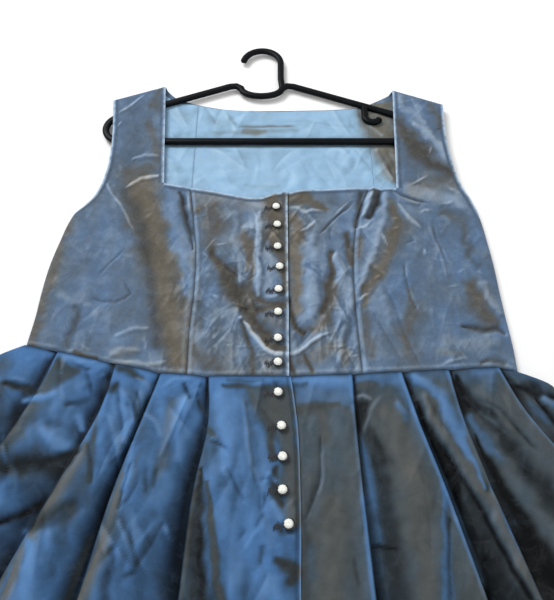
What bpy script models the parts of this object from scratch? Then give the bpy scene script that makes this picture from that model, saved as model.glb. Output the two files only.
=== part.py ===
"""A sleeveless dirndl dress laid flat on its back, with a clothes hanger in its shoulders.

Frame: metres, +Z up. The dress lies on the plane z = 0, its shoulders towards +Y and its
hem towards -Y. The origin is on that plane, under the middle of the whole object's box.
"Up" below is the distance from the waist seam towards the shoulders, and "down" is the
distance from the waist seam towards the hem. Left and right are those of the picture
seen from above with the shoulders on top, so left is -X.

Every cloth panel is a wall: a grid of points on the cloth's middle surface, thickened to
both sides. The back lies on the floor, the lining on the back, the hanger on the lining,
and the front and its straps on top. The skirt's knife pleats turn outwards from the
centre, and each one tucks its cloth back under itself before the next one starts.
"""

import math

import bpy
import numpy as np
from mathutils import Vector
from mathutils.bvhtree import BVHTree

# Driving sizes of the garment.
SKIRT_LENGTH = 0.68
HOOK_TOP_UP = 0.489
WAIST_Y = (SKIRT_LENGTH - HOOK_TOP_UP) / 2

# Cloth walls and the gap that separates two pieces sewn together.
VELVET = 0.0018
TAFFETA = 0.0012
LINING = 0.0010
SEAM = 0.0003
SEAM_RISE = 0.0004
CLOSURE_GAP = 0.0005

# The hanger's rod, as wide as it shows from above and a little less high.
ROD_WIDTH = 0.0085
ROD_HEIGHT = 0.0065

# Heights of the middle surfaces above the floor, stacked from the floor up.
BACK_MID = VELVET / 2
LINING_MID = VELVET + SEAM + LINING / 2
HANGER_MID = LINING_MID + LINING / 2 + SEAM + ROD_HEIGHT / 2
STRAP_MID = HANGER_MID + ROD_HEIGHT / 2 + SEAM_RISE + VELVET / 2
FRONT_MID = 0.0088
SIDE_SEAM_Z = 0.0048
SHOULDER_SEAM_Z = 0.0068
SEAM_HALF = 0.00035

# The bodice's outer edges: side seams up to the underarm, armholes above it.
# Columns: up, left x, right x.
BODICE_EDGES = (
    (0.000, -0.2590, 0.2416),
    (0.036, -0.2570, 0.2417),
    (0.070, -0.2538, 0.2400),
    (0.100, -0.2526, 0.2388),
    (0.134, -0.2496, 0.2380),
    (0.169, -0.2432, 0.2356),
    (0.196, -0.2370, 0.2331),
    (0.206, -0.2330, 0.2315),
    (0.216, -0.2225, 0.2280),
    (0.225, -0.2155, 0.2255),
    (0.240, -0.2095, 0.2195),
    (0.270, -0.2032, 0.2125),
    (0.318, -0.2022, 0.2080),
    (0.345, -0.2042, 0.2085),
    (0.377, -0.2075, 0.2105),
    (0.412, -0.2110, 0.2130),
)
UNDERARM_UP = 0.200
UNDERARM_FADE = 0.018

# The shoulder folds and the straps' inner edges.
# Columns: side, strap's inner x at the neckline, at the shoulder, shoulder up inside, outside.
STRAPS = {
    "left": (-0.1335, -0.1445, 0.413, 0.388),
    "right": (0.1405, 0.1490, 0.406, 0.380),
}

# The front's princess seams. Columns: up, left x, right x.
PRINCESS_SEAMS = (
    (0.000, -0.0900, 0.0860),
    (0.050, -0.0910, 0.0840),
    (0.100, -0.0890, 0.0830),
    (0.150, -0.0900, 0.0850),
    (0.200, -0.0955, 0.0930),
    (0.245, -0.1020, 0.1090),
)

# The front neckline. Columns: x, up.
NECKLINE = (
    (-0.1335, 0.2500),
    (-0.1000, 0.2425),
    (-0.0760, 0.2381),
    (-0.0525, 0.2321),
    (-0.0337, 0.2283),
    (-0.0190, 0.2262),
    (-0.0060, 0.2310),
    (0.0120, 0.2345),
    (0.0270, 0.2387),
    (0.0505, 0.2403),
    (0.1070, 0.2427),
    (0.1405, 0.2417),
)

# The back's neck edge between its two seams. Columns: x, up.
BACK_NECK = (
    (-0.1445, 0.413),
    (-0.1300, 0.399),
    (-0.1150, 0.3920),
    (-0.0990, 0.3865),
    (-0.0680, 0.3795),
    (-0.0200, 0.3767),
    (0.0300, 0.3774),
    (0.0810, 0.3795),
    (0.1100, 0.3835),
    (0.1260, 0.3920),
    (0.1490, 0.406),
)
BACK_SEAMS = {"left": -0.101, "right": 0.115}

# The waist seam runs level in the middle and rises towards both sides.
# Columns: x, rise, both exact at the pleats' folds.
WAIST_RISE = (
    (-0.300, 0.0453),
    (-0.117, 0.0040),
    (-0.069, 0.0005),
    (0.012, 0.0005),
    (0.076, 0.0030),
    (0.2237, 0.0103),
    (0.2416, 0.0050),
)

# The closure: the left front laps over the right one.
LAP_EDGE_X = 0.012
UNDERLAP_X = -0.018
LAP_RISE_FROM = -0.036

# The buttons. Columns: x, up.
BUTTONS = (
    (-0.0005, 0.2116),
    (0.0007, 0.1859),
    (0.0011, 0.1556),
    (0.0033, 0.1290),
    (0.0021, 0.1001),
    (0.0015, 0.0719),
    (0.0014, 0.0412),
    (0.0014, 0.0141),
    (0.0015, -0.0188),
    (0.0047, -0.0536),
    (0.0056, -0.0840),
    (0.0054, -0.1155),
    (0.0106, -0.1465),
)
BUTTON_RADIUS = 0.0054
BUTTON_HEIGHT = 0.0050
BUTTON_SIDES = 12

# Rows of the front between the waist seam and the neckline.
FRONT_ROWS = 9

# The largest folds of the bodice's front.
# Columns: from x, from up, to x, to up, half width, height.
BODICE_FOLDS = (
    (-0.190, 0.215, -0.128, 0.045, 0.026, 0.0050),
    (-0.232, 0.130, -0.215, 0.045, 0.022, 0.0025),
    (-0.062, 0.150, -0.034, 0.060, 0.017, 0.0040),
    (0.040, 0.150, 0.036, 0.075, 0.016, 0.0045),
    (0.125, 0.200, 0.165, 0.070, 0.028, 0.0045),
    (0.205, 0.130, 0.205, 0.050, 0.020, 0.0025),
)
FOLD_FADE_FROM = 0.215
FOLD_FADE_TO = 0.245
STRAP_CLIMB_FROM = 0.250
STRAP_CLIMB_TO = 0.306

# The skirt's pleat folds, from the centre outwards.
DOWN_STATIONS = (0.00, 0.05, 0.12, 0.21, 0.68)
# One row for each pleat: how far its fold lies from x = 0 at each of the stations down.
FRONT_PLEATS = {
    "left": (
        (0.0690, 0.0672, 0.0770, 0.0825, 0.115),
        (0.1170, 0.1301, 0.1480, 0.1645, 0.272),
        (0.1635, 0.1710, 0.1960, 0.2303, 0.390),
        (0.2237, 0.2363, 0.2640, 0.3120, 0.500),
    ),
    "right": (
        (0.0760, 0.0766, 0.0789, 0.0828, 0.116),
        (0.1256, 0.1360, 0.1530, 0.1728, 0.266),
        (0.1732, 0.1790, 0.1930, 0.2150, 0.380),
        (0.2237, 0.2403, 0.2770, 0.3230, 0.505),
    ),
}
BACK_PLEATS = (
    (0.072, 0.074, 0.080, 0.090, 0.125),
    (0.120, 0.133, 0.153, 0.176, 0.285),
    (0.168, 0.182, 0.208, 0.242, 0.400),
    (0.2237, 0.250, 0.286, 0.328, 0.508),
)
# The lap's edge on the skirt, and its underlap.
LAP_LINE = (0.0135, 0.0194, 0.0212, 0.0200, 0.024)
UNDERLAP_LINE = (-0.018, -0.014, -0.012, -0.014, -0.010)
# How deep each pleat goes back under its fold.
PLEAT_DEPTH = (0.0360, 0.0340, 0.0300, 0.0250, 0.0120)

# The skirt's outer side. Columns: down, half width on the left, on the right.
SIDE_LINE = (
    (0.000, 0.2590, 0.2416),
    (0.006, 0.2710, 0.2560),
    (0.013, 0.2830, 0.2690),
    (0.030, 0.2985, 0.2800),
    (0.060, 0.3150, 0.3000),
    (0.120, 0.3480, 0.3420),
    (0.210, 0.4000, 0.3980),
    (0.450, 0.5150, 0.5150),
    (0.680, 0.6000, 0.6000),
)

# Heights of the skirt's layers at each station down.
FRONT_LOW = (0.0066, 0.0066, 0.0066, 0.0066, 0.0060)
FRONT_UNDER = (0.0088, 0.0096, 0.0110, 0.0120, 0.0100)
FRONT_TOP = (0.0112, 0.0150, 0.0205, 0.0260, 0.0200)
FRONT_CENTRE = (0.0110, 0.0125, 0.0150, 0.0170, 0.0150)
BACK_OUTER = TAFFETA / 2
BACK_UNDER = 0.0025
BACK_INNER = 0.0044
SIDE_MID = (0.0072, 0.0080, 0.0095, 0.0105, 0.0090)

DOWN_ROWS = (0.0, 0.006, 0.013, 0.030, 0.055, 0.085, 0.12, 0.165, 0.21, 0.29, 0.38, 0.48, 0.58, 0.68)
BACK_ROWS = (0.0, 0.006, 0.013, 0.030, 0.060, 0.12, 0.21, 0.33, 0.45, 0.57, 0.68)
HEM_LIFT = 0.10
FOLD_LIP = 0.0034
PLEAT_BEND = 0.0025
HALF_WAIST = 0.245

# A fold's rounded edge is sampled at these angles from its rim to its flat.
CURL_ANGLES = tuple(math.radians(angle) for angle in (90, 60, 30, 0))
SIDE_CURL = 0.008
TURN_WIDTH = 0.0179
SHOULDER_CURL = 0.006
SKIRT_CURL = (0.008, 0.012, 0.016, 0.018, 0.018)

# The hanger, about its own middle. Up is measured as everywhere else.
HANGER_X = -0.020
HANGER_HALF_WIDTH = 0.1938
BAR_UP = 0.3195
ARM_END_UP = 0.3620
DIP_HALF_WIDTH = 0.031
DIP_TOP_UP = 0.4180
DIP_BOTTOM_UP = 0.3985
HOOK_RADIUS = 0.0250
HOOK_CENTRE_UP = HOOK_TOP_UP - HOOK_RADIUS - ROD_WIDTH / 2
HOOK_TIP_ANGLE = 168
SCARF_HOOK_X = 0.1313
SCARF_HOOK_DROP = 0.0313
SCARF_HOOK_RADIUS = 0.0095
ROD_SIDES = 8


# ---------------------------------------------------------------- curves and walls


def smooth(stations, values, at):
    """A smooth curve through the stations, by cubic pieces with averaged slopes."""
    stations = np.asarray(stations, float)
    values = np.asarray(values, float)
    slopes = np.gradient(values, stations)
    at = min(max(at, stations[0]), stations[-1])
    i = min(int(np.searchsorted(stations, at, side="right")) - 1, len(stations) - 2)
    step = stations[i + 1] - stations[i]
    t = (at - stations[i]) / step
    return (
        values[i] * (1 + 2 * t) * (1 - t) ** 2
        + values[i + 1] * t * t * (3 - 2 * t)
        + step * (slopes[i] * t * (1 - t) ** 2 - slopes[i + 1] * t * t * (1 - t))
    )


def column(table, key, value, at):
    """Reads a table: the smooth curve of one column against another."""
    return smooth([row[key] for row in table], [row[value] for row in table], at)


def ease(low, high, at):
    """0 below low, 1 above high, and a smooth step between."""
    t = min(max((at - low) / (high - low), 0.0), 1.0)
    return t * t * (3 - 2 * t)


def waist_rise(x):
    """How far the waist seam lies above its level in the middle."""
    return float(np.interp(x, [row[0] for row in WAIST_RISE], [row[1] for row in WAIST_RISE]))


def material(name, colour, roughness, metallic=0.0):
    made = bpy.data.materials.new(name)
    made.use_nodes = True
    shader = made.node_tree.nodes["Principled BSDF"]
    shader.inputs["Base Color"].default_value = (*colour, 1.0)
    shader.inputs["Roughness"].default_value = roughness
    shader.inputs["Metallic"].default_value = metallic
    return made


def add_object(name, vertices, faces, finish, is_smooth=True):
    mesh = bpy.data.meshes.new(name)
    mesh.from_pydata([tuple(v) for v in vertices], [], faces)
    mesh.materials.append(finish)
    if is_smooth:
        mesh.shade_smooth()
    mesh.update()
    made = bpy.data.objects.new(name, mesh)
    bpy.context.scene.collection.objects.link(made)
    return made


def wall(name, grid, thickness, finish, keep=lambda row, col: True):
    """A closed cloth wall round a grid of middle points. keep leaves out quads of the grid."""
    points = np.array(grid, float)
    along_rows = np.gradient(points, axis=0, edge_order=2)
    along_cols = np.gradient(points, axis=1, edge_order=2)
    normals = np.cross(along_cols, along_rows)
    # The first row is sewn into the waist seam, so its cut edge stands in the seam's plane.
    for point, normal in zip(points[0], normals[0]):
        across_seam = Vector((waist_rise(point[0] - 0.001) - waist_rise(point[0] + 0.001), 0.002, 0.0))
        across_seam.normalize()
        normal -= np.array(across_seam) * Vector(normal).dot(across_seam)
    normals /= np.linalg.norm(normals, axis=2, keepdims=True)
    rows, cols = points.shape[:2]
    sheets = np.stack([points + normals * thickness / 2, points - normals * thickness / 2])
    sheets[..., 1] += WAIST_Y

    def corner(side, row, col):
        return (side * rows + row) * cols + col

    kept = {(r, c) for r in range(rows - 1) for c in range(cols - 1) if keep(r, c)}
    faces = []
    for r, c in sorted(kept):
        ring = [(r, c), (r, c + 1), (r + 1, c + 1), (r + 1, c)]
        # Both sheets are split along the same diagonal, so that a twisted quad keeps its thickness.
        for half in (ring[:3], [ring[2], ring[3], ring[0]]):
            faces.append([corner(0, *p) for p in half])
            faces.append([corner(1, *p) for p in reversed(half)])
        neighbours = [(r - 1, c), (r, c + 1), (r + 1, c), (r, c - 1)]
        for i, neighbour in enumerate(neighbours):
            if neighbour not in kept:
                a, b = ring[i], ring[(i + 1) % 4]
                faces.append([corner(0, *b), corner(0, *a), corner(1, *a), corner(1, *b)])
    used = sorted({v for face in faces for v in face})
    renumbered = {old: new for new, old in enumerate(used)}
    vertices = sheets.reshape(-1, 3)[used]
    return add_object(name, vertices, [[renumbered[v] for v in f] for f in faces], finish)


def sweep(name, path, finish, closed=False, grown=0.0):
    """The hanger's rod along a path of (x, up) points, with an eight-sided section."""
    path = [Vector((x, up + WAIST_Y, HANGER_MID)) for x, up in path]
    count = len(path)
    vertices = []
    for i, point in enumerate(path):
        before = path[(i - 1) % count] if closed or i else point
        after = path[(i + 1) % count] if closed or i < count - 1 else point
        forward = (after - before).normalized()
        sideways = Vector((-forward.y, forward.x, 0.0))
        for k in range(ROD_SIDES):
            angle = 2 * math.pi * (k + 0.5) / ROD_SIDES
            flat = math.cos(math.pi / ROD_SIDES)
            across = math.cos(angle) / flat * (ROD_WIDTH / 2 + grown)
            high = math.sin(angle) / flat * (ROD_HEIGHT / 2 + grown)
            vertices.append(point + sideways * across + Vector((0, 0, high)))
    faces = []
    for i in range(count if closed else count - 1):
        a, b = i * ROD_SIDES, (i + 1) % count * ROD_SIDES
        for k in range(ROD_SIDES):
            n = (k + 1) % ROD_SIDES
            faces.append([a + k, a + n, b + n, b + k])
    if not closed:
        last = (count - 1) * ROD_SIDES
        faces.append(list(reversed(range(ROD_SIDES))))
        faces.append([last + k for k in range(ROD_SIDES)])
    made = add_object(name, vertices, faces, finish, is_smooth=False)
    # The path may run either way round, so the faces are turned to point out.
    if signed_volume(made.data) < 0:
        made.data.flip_normals()
    return made


def signed_volume(mesh):
    total = 0.0
    for face in mesh.polygons:
        corners = [mesh.vertices[i].co for i in face.vertices]
        for i in range(1, len(corners) - 1):
            total += corners[0].dot(corners[i].cross(corners[i + 1])) / 6
    return total


# ---------------------------------------------------------------- bodice


def edge_x(side, up):
    return column(BODICE_EDGES, 0, 1 if side == "left" else 2, up)


def princess_x(side, up):
    return column(PRINCESS_SEAMS, 0, 1 if side == "left" else 2, up)


def shoulder_up(side, x):
    """The shoulder fold, straight from the strap's inner corner to its outer one."""
    _, inner_x, inner_up, outer_up = STRAPS[side]
    outer_x = edge_x(side, outer_up)
    share = (x - inner_x) / (outer_x - inner_x)
    return inner_up + (outer_up - inner_up) * share


def side_curl(side, x, up):
    """How far the cloth has turned round the side seam: 0 on the flat, 1 at the seam."""
    from_edge = abs(edge_x(side, up)) - abs(x)
    turned = 1 - min(max(from_edge / SIDE_CURL, 0.0), 1.0)
    sewn = 1 - ease(UNDERARM_UP, UNDERARM_UP + UNDERARM_FADE, up)
    return (1 - math.sqrt(max(1 - turned * turned, 0.0))) * sewn


def shoulder_curl(side, x, up):
    turned = 1 - min(max((shoulder_up(side, x) - up) / SHOULDER_CURL, 0.0), 1.0)
    return 1 - math.sqrt(max(1 - turned * turned, 0.0))


def folds_height(x, up):
    """The front's largest folds: soft ridges along straight lines, fading at their ends."""
    height = 0.0
    for from_x, from_up, to_x, to_up, half_width, rise in BODICE_FOLDS:
        dx, dup = to_x - from_x, to_up - from_up
        length = math.hypot(dx, dup)
        along = ((x - from_x) * dx + (up - from_up) * dup) / length
        across = ((x - from_x) * dup - (up - from_up) * dx) / length
        over = max(-along, along - length, 0.0)
        height += rise * math.exp(-(across**2 + over**2) / (half_width * 0.8) ** 2)
    return height * (1 - ease(FOLD_FADE_FROM, FOLD_FADE_TO, up))


def front_z(x, up):
    """The height of the front's middle surface, away from its turned edges."""
    climb = ease(STRAP_CLIMB_FROM, STRAP_CLIMB_TO, up)
    return FRONT_MID + (STRAP_MID - FRONT_MID) * climb + folds_height(x, up)


def front_side_point(side, x, up):
    z = front_z(x, up)
    z -= (z - SIDE_SEAM_Z - SEAM_HALF) * side_curl(side, x, up)
    z -= (z - SHOULDER_SEAM_Z - SEAM_HALF) * shoulder_curl(side, x, up)
    return (x, up, z)


def back_point(side, x, up):
    z = BACK_MID
    z += (SIDE_SEAM_Z - SEAM_HALF - BACK_MID) * side_curl(side, x, up)
    if up > STRAP_CLIMB_FROM:
        z += (SHOULDER_SEAM_Z - SEAM_HALF - z) * shoulder_curl(side, x, up)
    return (x, up, z)


def curl_offsets(radius):
    """Distances from a turned edge, from the flat to the rim."""
    return [radius * (1 - math.sin(angle)) for angle in reversed(CURL_ANGLES)]


def spread(start, end, steps):
    return [start + (end - start) * i / steps for i in range(steps + 1)]


def panel_up(x, share):
    """Up on a row of the front below the neckline: from the waist seam to the neckline."""
    bottom = waist_rise(x)
    return bottom + share * (column(NECKLINE, 0, 1, x) - bottom)


def on_princess(side, share):
    """Where a row of the front meets the princess seam."""
    x = princess_x(side, share * 0.24)
    for _ in range(3):
        x = princess_x(side, panel_up(x, share))
    return x


def add_front_centres(finish):
    """The two centre fronts, the left one lapping over the right one at the closure."""
    # Columns: side, edge at the closure, last station before the princess seam, lap's rise.
    for side, edge, last, lap_rise in (
        ("left", LAP_EDGE_X, -0.072, VELVET + CLOSURE_GAP),
        ("right", UNDERLAP_X, 0.068, 0.0),
    ):
        inner = UNDERLAP_X if side == "left" else LAP_EDGE_X
        inset = SEAM / 2 if side == "left" else -SEAM / 2
        rows = []
        for share in spread(0.0, 1.0, FRONT_ROWS):
            stations = [edge, *spread(inner, last, 3), on_princess(side, share) + inset]
            row = []
            for x in stations:
                up = panel_up(x, share)
                lift = lap_rise * ease(LAP_RISE_FROM, UNDERLAP_X - 0.003, x)
                row.append((x, up, front_z(x, up) + lift))
            rows.append(row)
        wall(f"front_centre_{side}", rows, VELVET, finish)


def across(seam_x, inner_x, edge, sign, middles):
    """Stations over a side front: seam, strap's inner line, then out and round the edge."""
    offsets = curl_offsets(SIDE_CURL)
    return [
        seam_x,
        (seam_x + inner_x) / 2,
        *spread(inner_x, edge - sign * TURN_WIDTH, middles),
        *(edge - sign * offset for offset in offsets),
    ]


def add_front_sides(finish):
    """The side fronts, each with its strap up to the shoulder fold."""
    lower_steps, strap_steps = FRONT_ROWS, 6
    for side, (inner_low, inner_high, _, _) in STRAPS.items():
        sign = -1 if side == "left" else 1
        corner_up = column(NECKLINE, 0, 1, inner_low)

        def start_up(x, share=1.0):
            """Up on a row below the neckline, which ends level beyond the strap's corner."""
            if abs(x) < abs(inner_low):
                return panel_up(x, share)
            return waist_rise(x) + share * (corner_up - waist_rise(x))

        rows = []
        for share in spread(0.0, 1.0, lower_steps):
            edge = edge_x(side, start_up(edge_x(side, share * corner_up), share))
            seam_x = on_princess(side, share) + sign * SEAM / 2
            xs = across(seam_x, inner_low, edge, sign, 3)
            rows.append([front_side_point(side, x, start_up(x, share)) for x in xs])
        # Columns: share of the strap's length, distance left to the shoulder fold.
        strap_rows = [(share, SHOULDER_CURL) for share in spread(0.0, 1.0, strap_steps)[1:]]
        strap_rows += [(1.0, offset) for offset in curl_offsets(SHOULDER_CURL)[1:]]
        for share, offset in strap_rows:
            inner_x = inner_low + (inner_high - inner_low) * share
            level = corner_up + share * (shoulder_up(side, 0.19 * sign) - corner_up)
            xs = across(inner_x - sign * 0.033, inner_x, edge_x(side, level), sign, 3)
            row = []
            for x in xs:
                start = start_up(x)
                up = start + share * (shoulder_up(side, x) - offset - start)
                row.append(front_side_point(side, x, up))
            rows.append(row)
        # Above the neckline only the columns of the strap go on.
        wall(
            f"front_side_{side}", rows, VELVET, finish,
            keep=lambda row, col: row < lower_steps or col >= 2,
        )


def back_top(x):
    return column(BACK_NECK, 0, 1, x)


def add_back(finish):
    """The back: a centre panel and two side panels with the straps' back halves."""
    centre = [
        [
            (x, waist_rise(x) + share * (back_top(x) - waist_rise(x)), BACK_MID)
            for x in spread(BACK_SEAMS["left"] + SEAM / 2, BACK_SEAMS["right"] - SEAM / 2, 6)
        ]
        for share in spread(0.0, 1.0, 6)
    ]
    wall("back_centre", centre, VELVET, finish)
    for side, seam in BACK_SEAMS.items():
        sign = -1 if side == "left" else 1
        offsets = curl_offsets(SIDE_CURL)
        seam_x = seam + sign * SEAM / 2
        corner_x = STRAPS[side][1]
        rows = []
        for share in spread(0.0, 1.0, 12):
            rows.append(back_side_row(side, sign, seam_x, corner_x, offsets, share, 0.0))
        wall(f"back_side_{side}", rows, VELVET, finish)


def back_side_row(side, sign, seam_x, corner_x, offsets, share, inset):
    """One row of a side back, from its seam to its edge, inset from the outer edges."""

    def up_at(x):
        bottom = waist_rise(x)
        beyond = abs(x) >= abs(corner_x)
        top = shoulder_up(side, x) if beyond else back_top(x)
        eased = 1 - (1 - share) ** 1.6
        return bottom + eased * (top - inset - bottom)

    level = up_at(corner_x)
    edge = edge_x(side, level)
    edge = edge_x(side, up_at(edge)) - sign * inset
    xs = [seam_x, (seam_x + corner_x) / 2]
    xs += spread(corner_x, edge - sign * TURN_WIDTH, 2)
    xs += [edge - sign * offset for offset in offsets]
    return [back_point(side, x, up_at(x)) for x in xs]


def add_lining(finish):
    """The lining that shows inside the neck, on the back's inner face."""
    inset = 0.003
    centre = [
        [
            (x, waist_rise(x) + inset + share * (back_top(x) - 2 * inset - waist_rise(x)), LINING_MID)
            for x in spread(BACK_SEAMS["left"] + SEAM / 2, BACK_SEAMS["right"] - SEAM / 2, 6)
        ]
        for share in spread(0.0, 1.0, 4)
    ]
    wall("lining_centre", centre, LINING, finish)
    for side, seam in BACK_SEAMS.items():
        sign = -1 if side == "left" else 1
        rows = []
        for share in spread(0.0, 1.0, 8):
            rows.append(lining_side_row(side, sign, seam + sign * SEAM / 2, share, inset))
        wall(f"lining_side_{side}", rows, LINING, finish)


def lining_side_row(side, sign, seam_x, share, inset):
    corner_x = STRAPS[side][1]
    clear = SIDE_CURL + 0.004

    def up_at(x):
        bottom = waist_rise(x) + inset
        top = shoulder_up(side, x) - clear if abs(x) >= abs(corner_x) else back_top(x) - inset
        if abs(x) < abs(corner_x):
            top -= (clear - inset) * ease(abs(seam_x), abs(corner_x), abs(x))
        return bottom + share * (top - bottom)

    edge = edge_x(side, up_at(edge_x(side, up_at(corner_x)))) - sign * clear
    xs = [seam_x, (seam_x + corner_x) / 2] + spread(corner_x, edge, 3)
    return [(x, up_at(x), LINING_MID) for x in xs]


# ---------------------------------------------------------------- skirt


def station_value(values, down):
    return smooth(DOWN_STATIONS, values, down)


def skirt_side_x(side, down):
    return column(SIDE_LINE, 0, 1 if side == "left" else 2, down)


def pleat_section(folds, first_points, side_x, curl, depth, low, under, top, side_mid):
    """The cloth's path across one half, as (distance from x = 0, height) points.

    It goes out over the first panel to its fold, back under it, out again beneath that,
    and so on through the pleats, and last over the side's rounded edge.
    """
    path = list(first_points)
    tip = min(0.004, depth / 3)
    rim = 0.0006
    lip = math.copysign(min(FOLD_LIP, abs(top - low) / 2), top - low)
    for i, fold in enumerate(folds):
        if i:
            before = folds[i - 1]
            start = fold - depth - 0.002
            path += [(before + rim, low), (max(start, before + 0.006), low + (top - low) * 0.92)]
            path += [((start + fold) / 2, top)]
        path += [(fold - tip, top), (fold, top - lip / 2), (fold - tip, top - lip)]
        inmost = fold - depth
        path += [(fold - depth * 0.6, under), (inmost + PLEAT_BEND, under)]
        path += [(inmost, (under + low) / 2), (inmost + PLEAT_BEND, low)]
    last = folds[-1]
    crown = low + (top - low) * 0.8
    path += [(last + rim, low), ((last + rim + side_x - curl) / 2, low + (crown - low) * 0.8)]
    for angle in reversed(CURL_ANGLES):
        x = side_x - curl * (1 - math.sin(angle))
        path.append((x, side_mid + (crown - side_mid) * math.cos(angle)))
    return path


def front_section(side, down):
    """The front's section on one side, at a distance down from the waist seam."""
    low = station_value(FRONT_LOW, down)
    under = station_value(FRONT_UNDER, down)
    top = station_value(FRONT_TOP, down)
    centre = station_value(FRONT_CENTRE, down)
    folds = [station_value(row, down) for row in FRONT_PLEATS[side]]
    lap = station_value(LAP_LINE, down)
    underlap = station_value(UNDERLAP_LINE, down)
    rising = centre + (top - centre) * 0.75
    if side == "left":
        starts = [(-lap, centre), (-underlap, centre), (folds[0] * 0.42, centre + (top - centre) * 0.2)]
        starts += [(folds[0] * 0.72, rising)]
    else:
        lapped = centre - TAFFETA - CLOSURE_GAP - SEAM_RISE
        starts = [(underlap, lapped), (lap, lapped), ((lap + folds[0]) / 2, lapped + (rising - lapped) * 0.7)]
        starts += [(folds[0] * 0.8, rising)]
    side_mid = station_value(SIDE_MID, down) + SEAM_HALF
    return pleat_section(
        folds, starts, skirt_side_x(side, down), station_value(SKIRT_CURL, down),
        station_value(PLEAT_DEPTH, down), low, under, top, side_mid,
    )


def back_section(side, down):
    """The back's section: the same pleats face down, so their outer panels lie on the floor."""
    folds = [station_value(row, down) for row in BACK_PLEATS]
    starts = [(0.0, BACK_OUTER), (folds[0] * 0.5, BACK_OUTER)]
    side_mid = station_value(SIDE_MID, down) - SEAM_HALF
    return pleat_section(
        folds, starts, skirt_side_x(side, down), station_value(SKIRT_CURL, down),
        station_value(PLEAT_DEPTH, down), BACK_INNER, BACK_UNDER, BACK_OUTER, side_mid,
    )


def skirt_grid(section, sign, rows):
    """Sections at each distance down, laid along the fan of the pleats."""
    waist = section(0.0)
    grid = []
    for down in rows:
        row = []
        for (x, z), (waist_x, _) in zip(section(down), waist):
            fall = down * (1 - HEM_LIFT * (waist_x / HALF_WAIST) ** 2)
            row.append((sign * x, waist_rise(sign * waist_x) - SEAM_RISE - fall, z))
        grid.append(row)
    return grid


def add_skirt(finish):
    for side, sign in (("left", -1), ("right", 1)):
        grid = skirt_grid(lambda down, side=side: front_section(side, down), sign, DOWN_ROWS)
        wall(f"skirt_front_{side}", grid, TAFFETA, finish)
    left = skirt_grid(lambda down: back_section("left", down), -1, BACK_ROWS)
    right = skirt_grid(lambda down: back_section("right", down), 1, BACK_ROWS)
    whole = [l[::-1] + r[1:] for l, r in zip(left, right)]
    wall("skirt_back", whole, TAFFETA, finish)


# ---------------------------------------------------------------- hanger and buttons


def arc(centre_x, centre_up, radius_x, radius_up, start, end, steps):
    """Points on an elliptical arc, its angles in degrees from +X towards up."""
    return [
        (
            centre_x + radius_x * math.cos(math.radians(angle)),
            centre_up + radius_up * math.sin(math.radians(angle)),
        )
        for angle in spread(start, end, steps)
    ]


def frame_path():
    """The closed rod: both arms with the dip between them, the rounded ends and the bar."""
    end_radius = (ARM_END_UP - BAR_UP) / 2
    end_x = HANGER_HALF_WIDTH - end_radius
    right = arc(end_x, BAR_UP + end_radius, end_radius, end_radius, -90, 72, 9)
    shoulder = [(DIP_HALF_WIDTH + 0.010, DIP_TOP_UP - 0.002), (DIP_HALF_WIDTH + 0.002, DIP_TOP_UP - 0.001)]
    dip = arc(0.0, DIP_TOP_UP - 0.006, DIP_HALF_WIDTH - 0.005, DIP_TOP_UP - 0.006 - DIP_BOTTOM_UP, 0, -180, 10)
    half = right + shoulder + dip[: len(dip) // 2 + 1]
    mirrored = [(-x, up) for x, up in reversed(half[:-1])]
    return [(HANGER_X + x, up) for x, up in half + mirrored]


def hook_path():
    """The hook: up from the dip's right shoulder, over the top and down to its tip."""
    stem_x = HANGER_X + HOOK_RADIUS
    stem = [(stem_x + 0.002, DIP_TOP_UP - 0.006), (stem_x, DIP_TOP_UP + 0.012)]
    top = arc(HANGER_X, HOOK_CENTRE_UP, HOOK_RADIUS, HOOK_RADIUS, 0, HOOK_TIP_ANGLE, 14)
    return stem + top


def scarf_hook_path(sign):
    """A small open hook that hangs below an arm, its tip turned away from the middle."""
    slope = (DIP_TOP_UP - ARM_END_UP) / (HANGER_HALF_WIDTH - DIP_HALF_WIDTH)
    arm_up = DIP_TOP_UP - slope * (SCARF_HOOK_X - DIP_HALF_WIDTH)
    bottom = arm_up - SCARF_HOOK_DROP + SCARF_HOOK_RADIUS
    # It starts on the arm's middle line.
    path = [(SCARF_HOOK_X, arm_up - ROD_WIDTH * 0.45), (SCARF_HOOK_X, (arm_up + bottom) / 2)]
    path += arc(
        SCARF_HOOK_X + SCARF_HOOK_RADIUS, bottom, SCARF_HOOK_RADIUS, SCARF_HOOK_RADIUS, 180, 330, 7
    )
    return [(HANGER_X + sign * x, up) for x, up in path]


def add_boolean(target, other, operation):
    """Joins another piece to the target or cuts it out, and keeps the other out of the model."""
    other.hide_render = True
    other.display_type = "WIRE"
    change = target.modifiers.new(other.name, "BOOLEAN")
    change.operation = operation
    change.solver = "EXACT"
    change.object = other


def add_hanger(finish):
    """One moulding: the frame with its hook. The two scarf hooks are nodes of their own."""
    hanger = sweep("hanger", frame_path(), finish, closed=True)
    add_boolean(hanger, sweep("hook", hook_path(), finish), "UNION")
    # Each scarf hook's top is cut to fit the arm that it hangs from, a seam's gap away.
    arm_room = sweep("arm_room", frame_path(), finish, closed=True, grown=SEAM)
    for side, sign in (("left", -1), ("right", 1)):
        scarf_hook = sweep(f"scarf_hook_{side}", scarf_hook_path(sign), finish)
        add_boolean(scarf_hook, arm_room, "DIFFERENCE")


def surface_top(tree, x, y, radius):
    """The highest point of a surface under a small round foot."""
    spots = [(x, y)] + [
        (x + radius * math.cos(a), y + radius * math.sin(a))
        for a in (2 * math.pi * k / 8 for k in range(8))
    ]
    hits = [tree.ray_cast(Vector((px, py, 1.0)), Vector((0, 0, -1)))[0] for px, py in spots]
    return max(hit.z for hit in hits if hit is not None)


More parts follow.
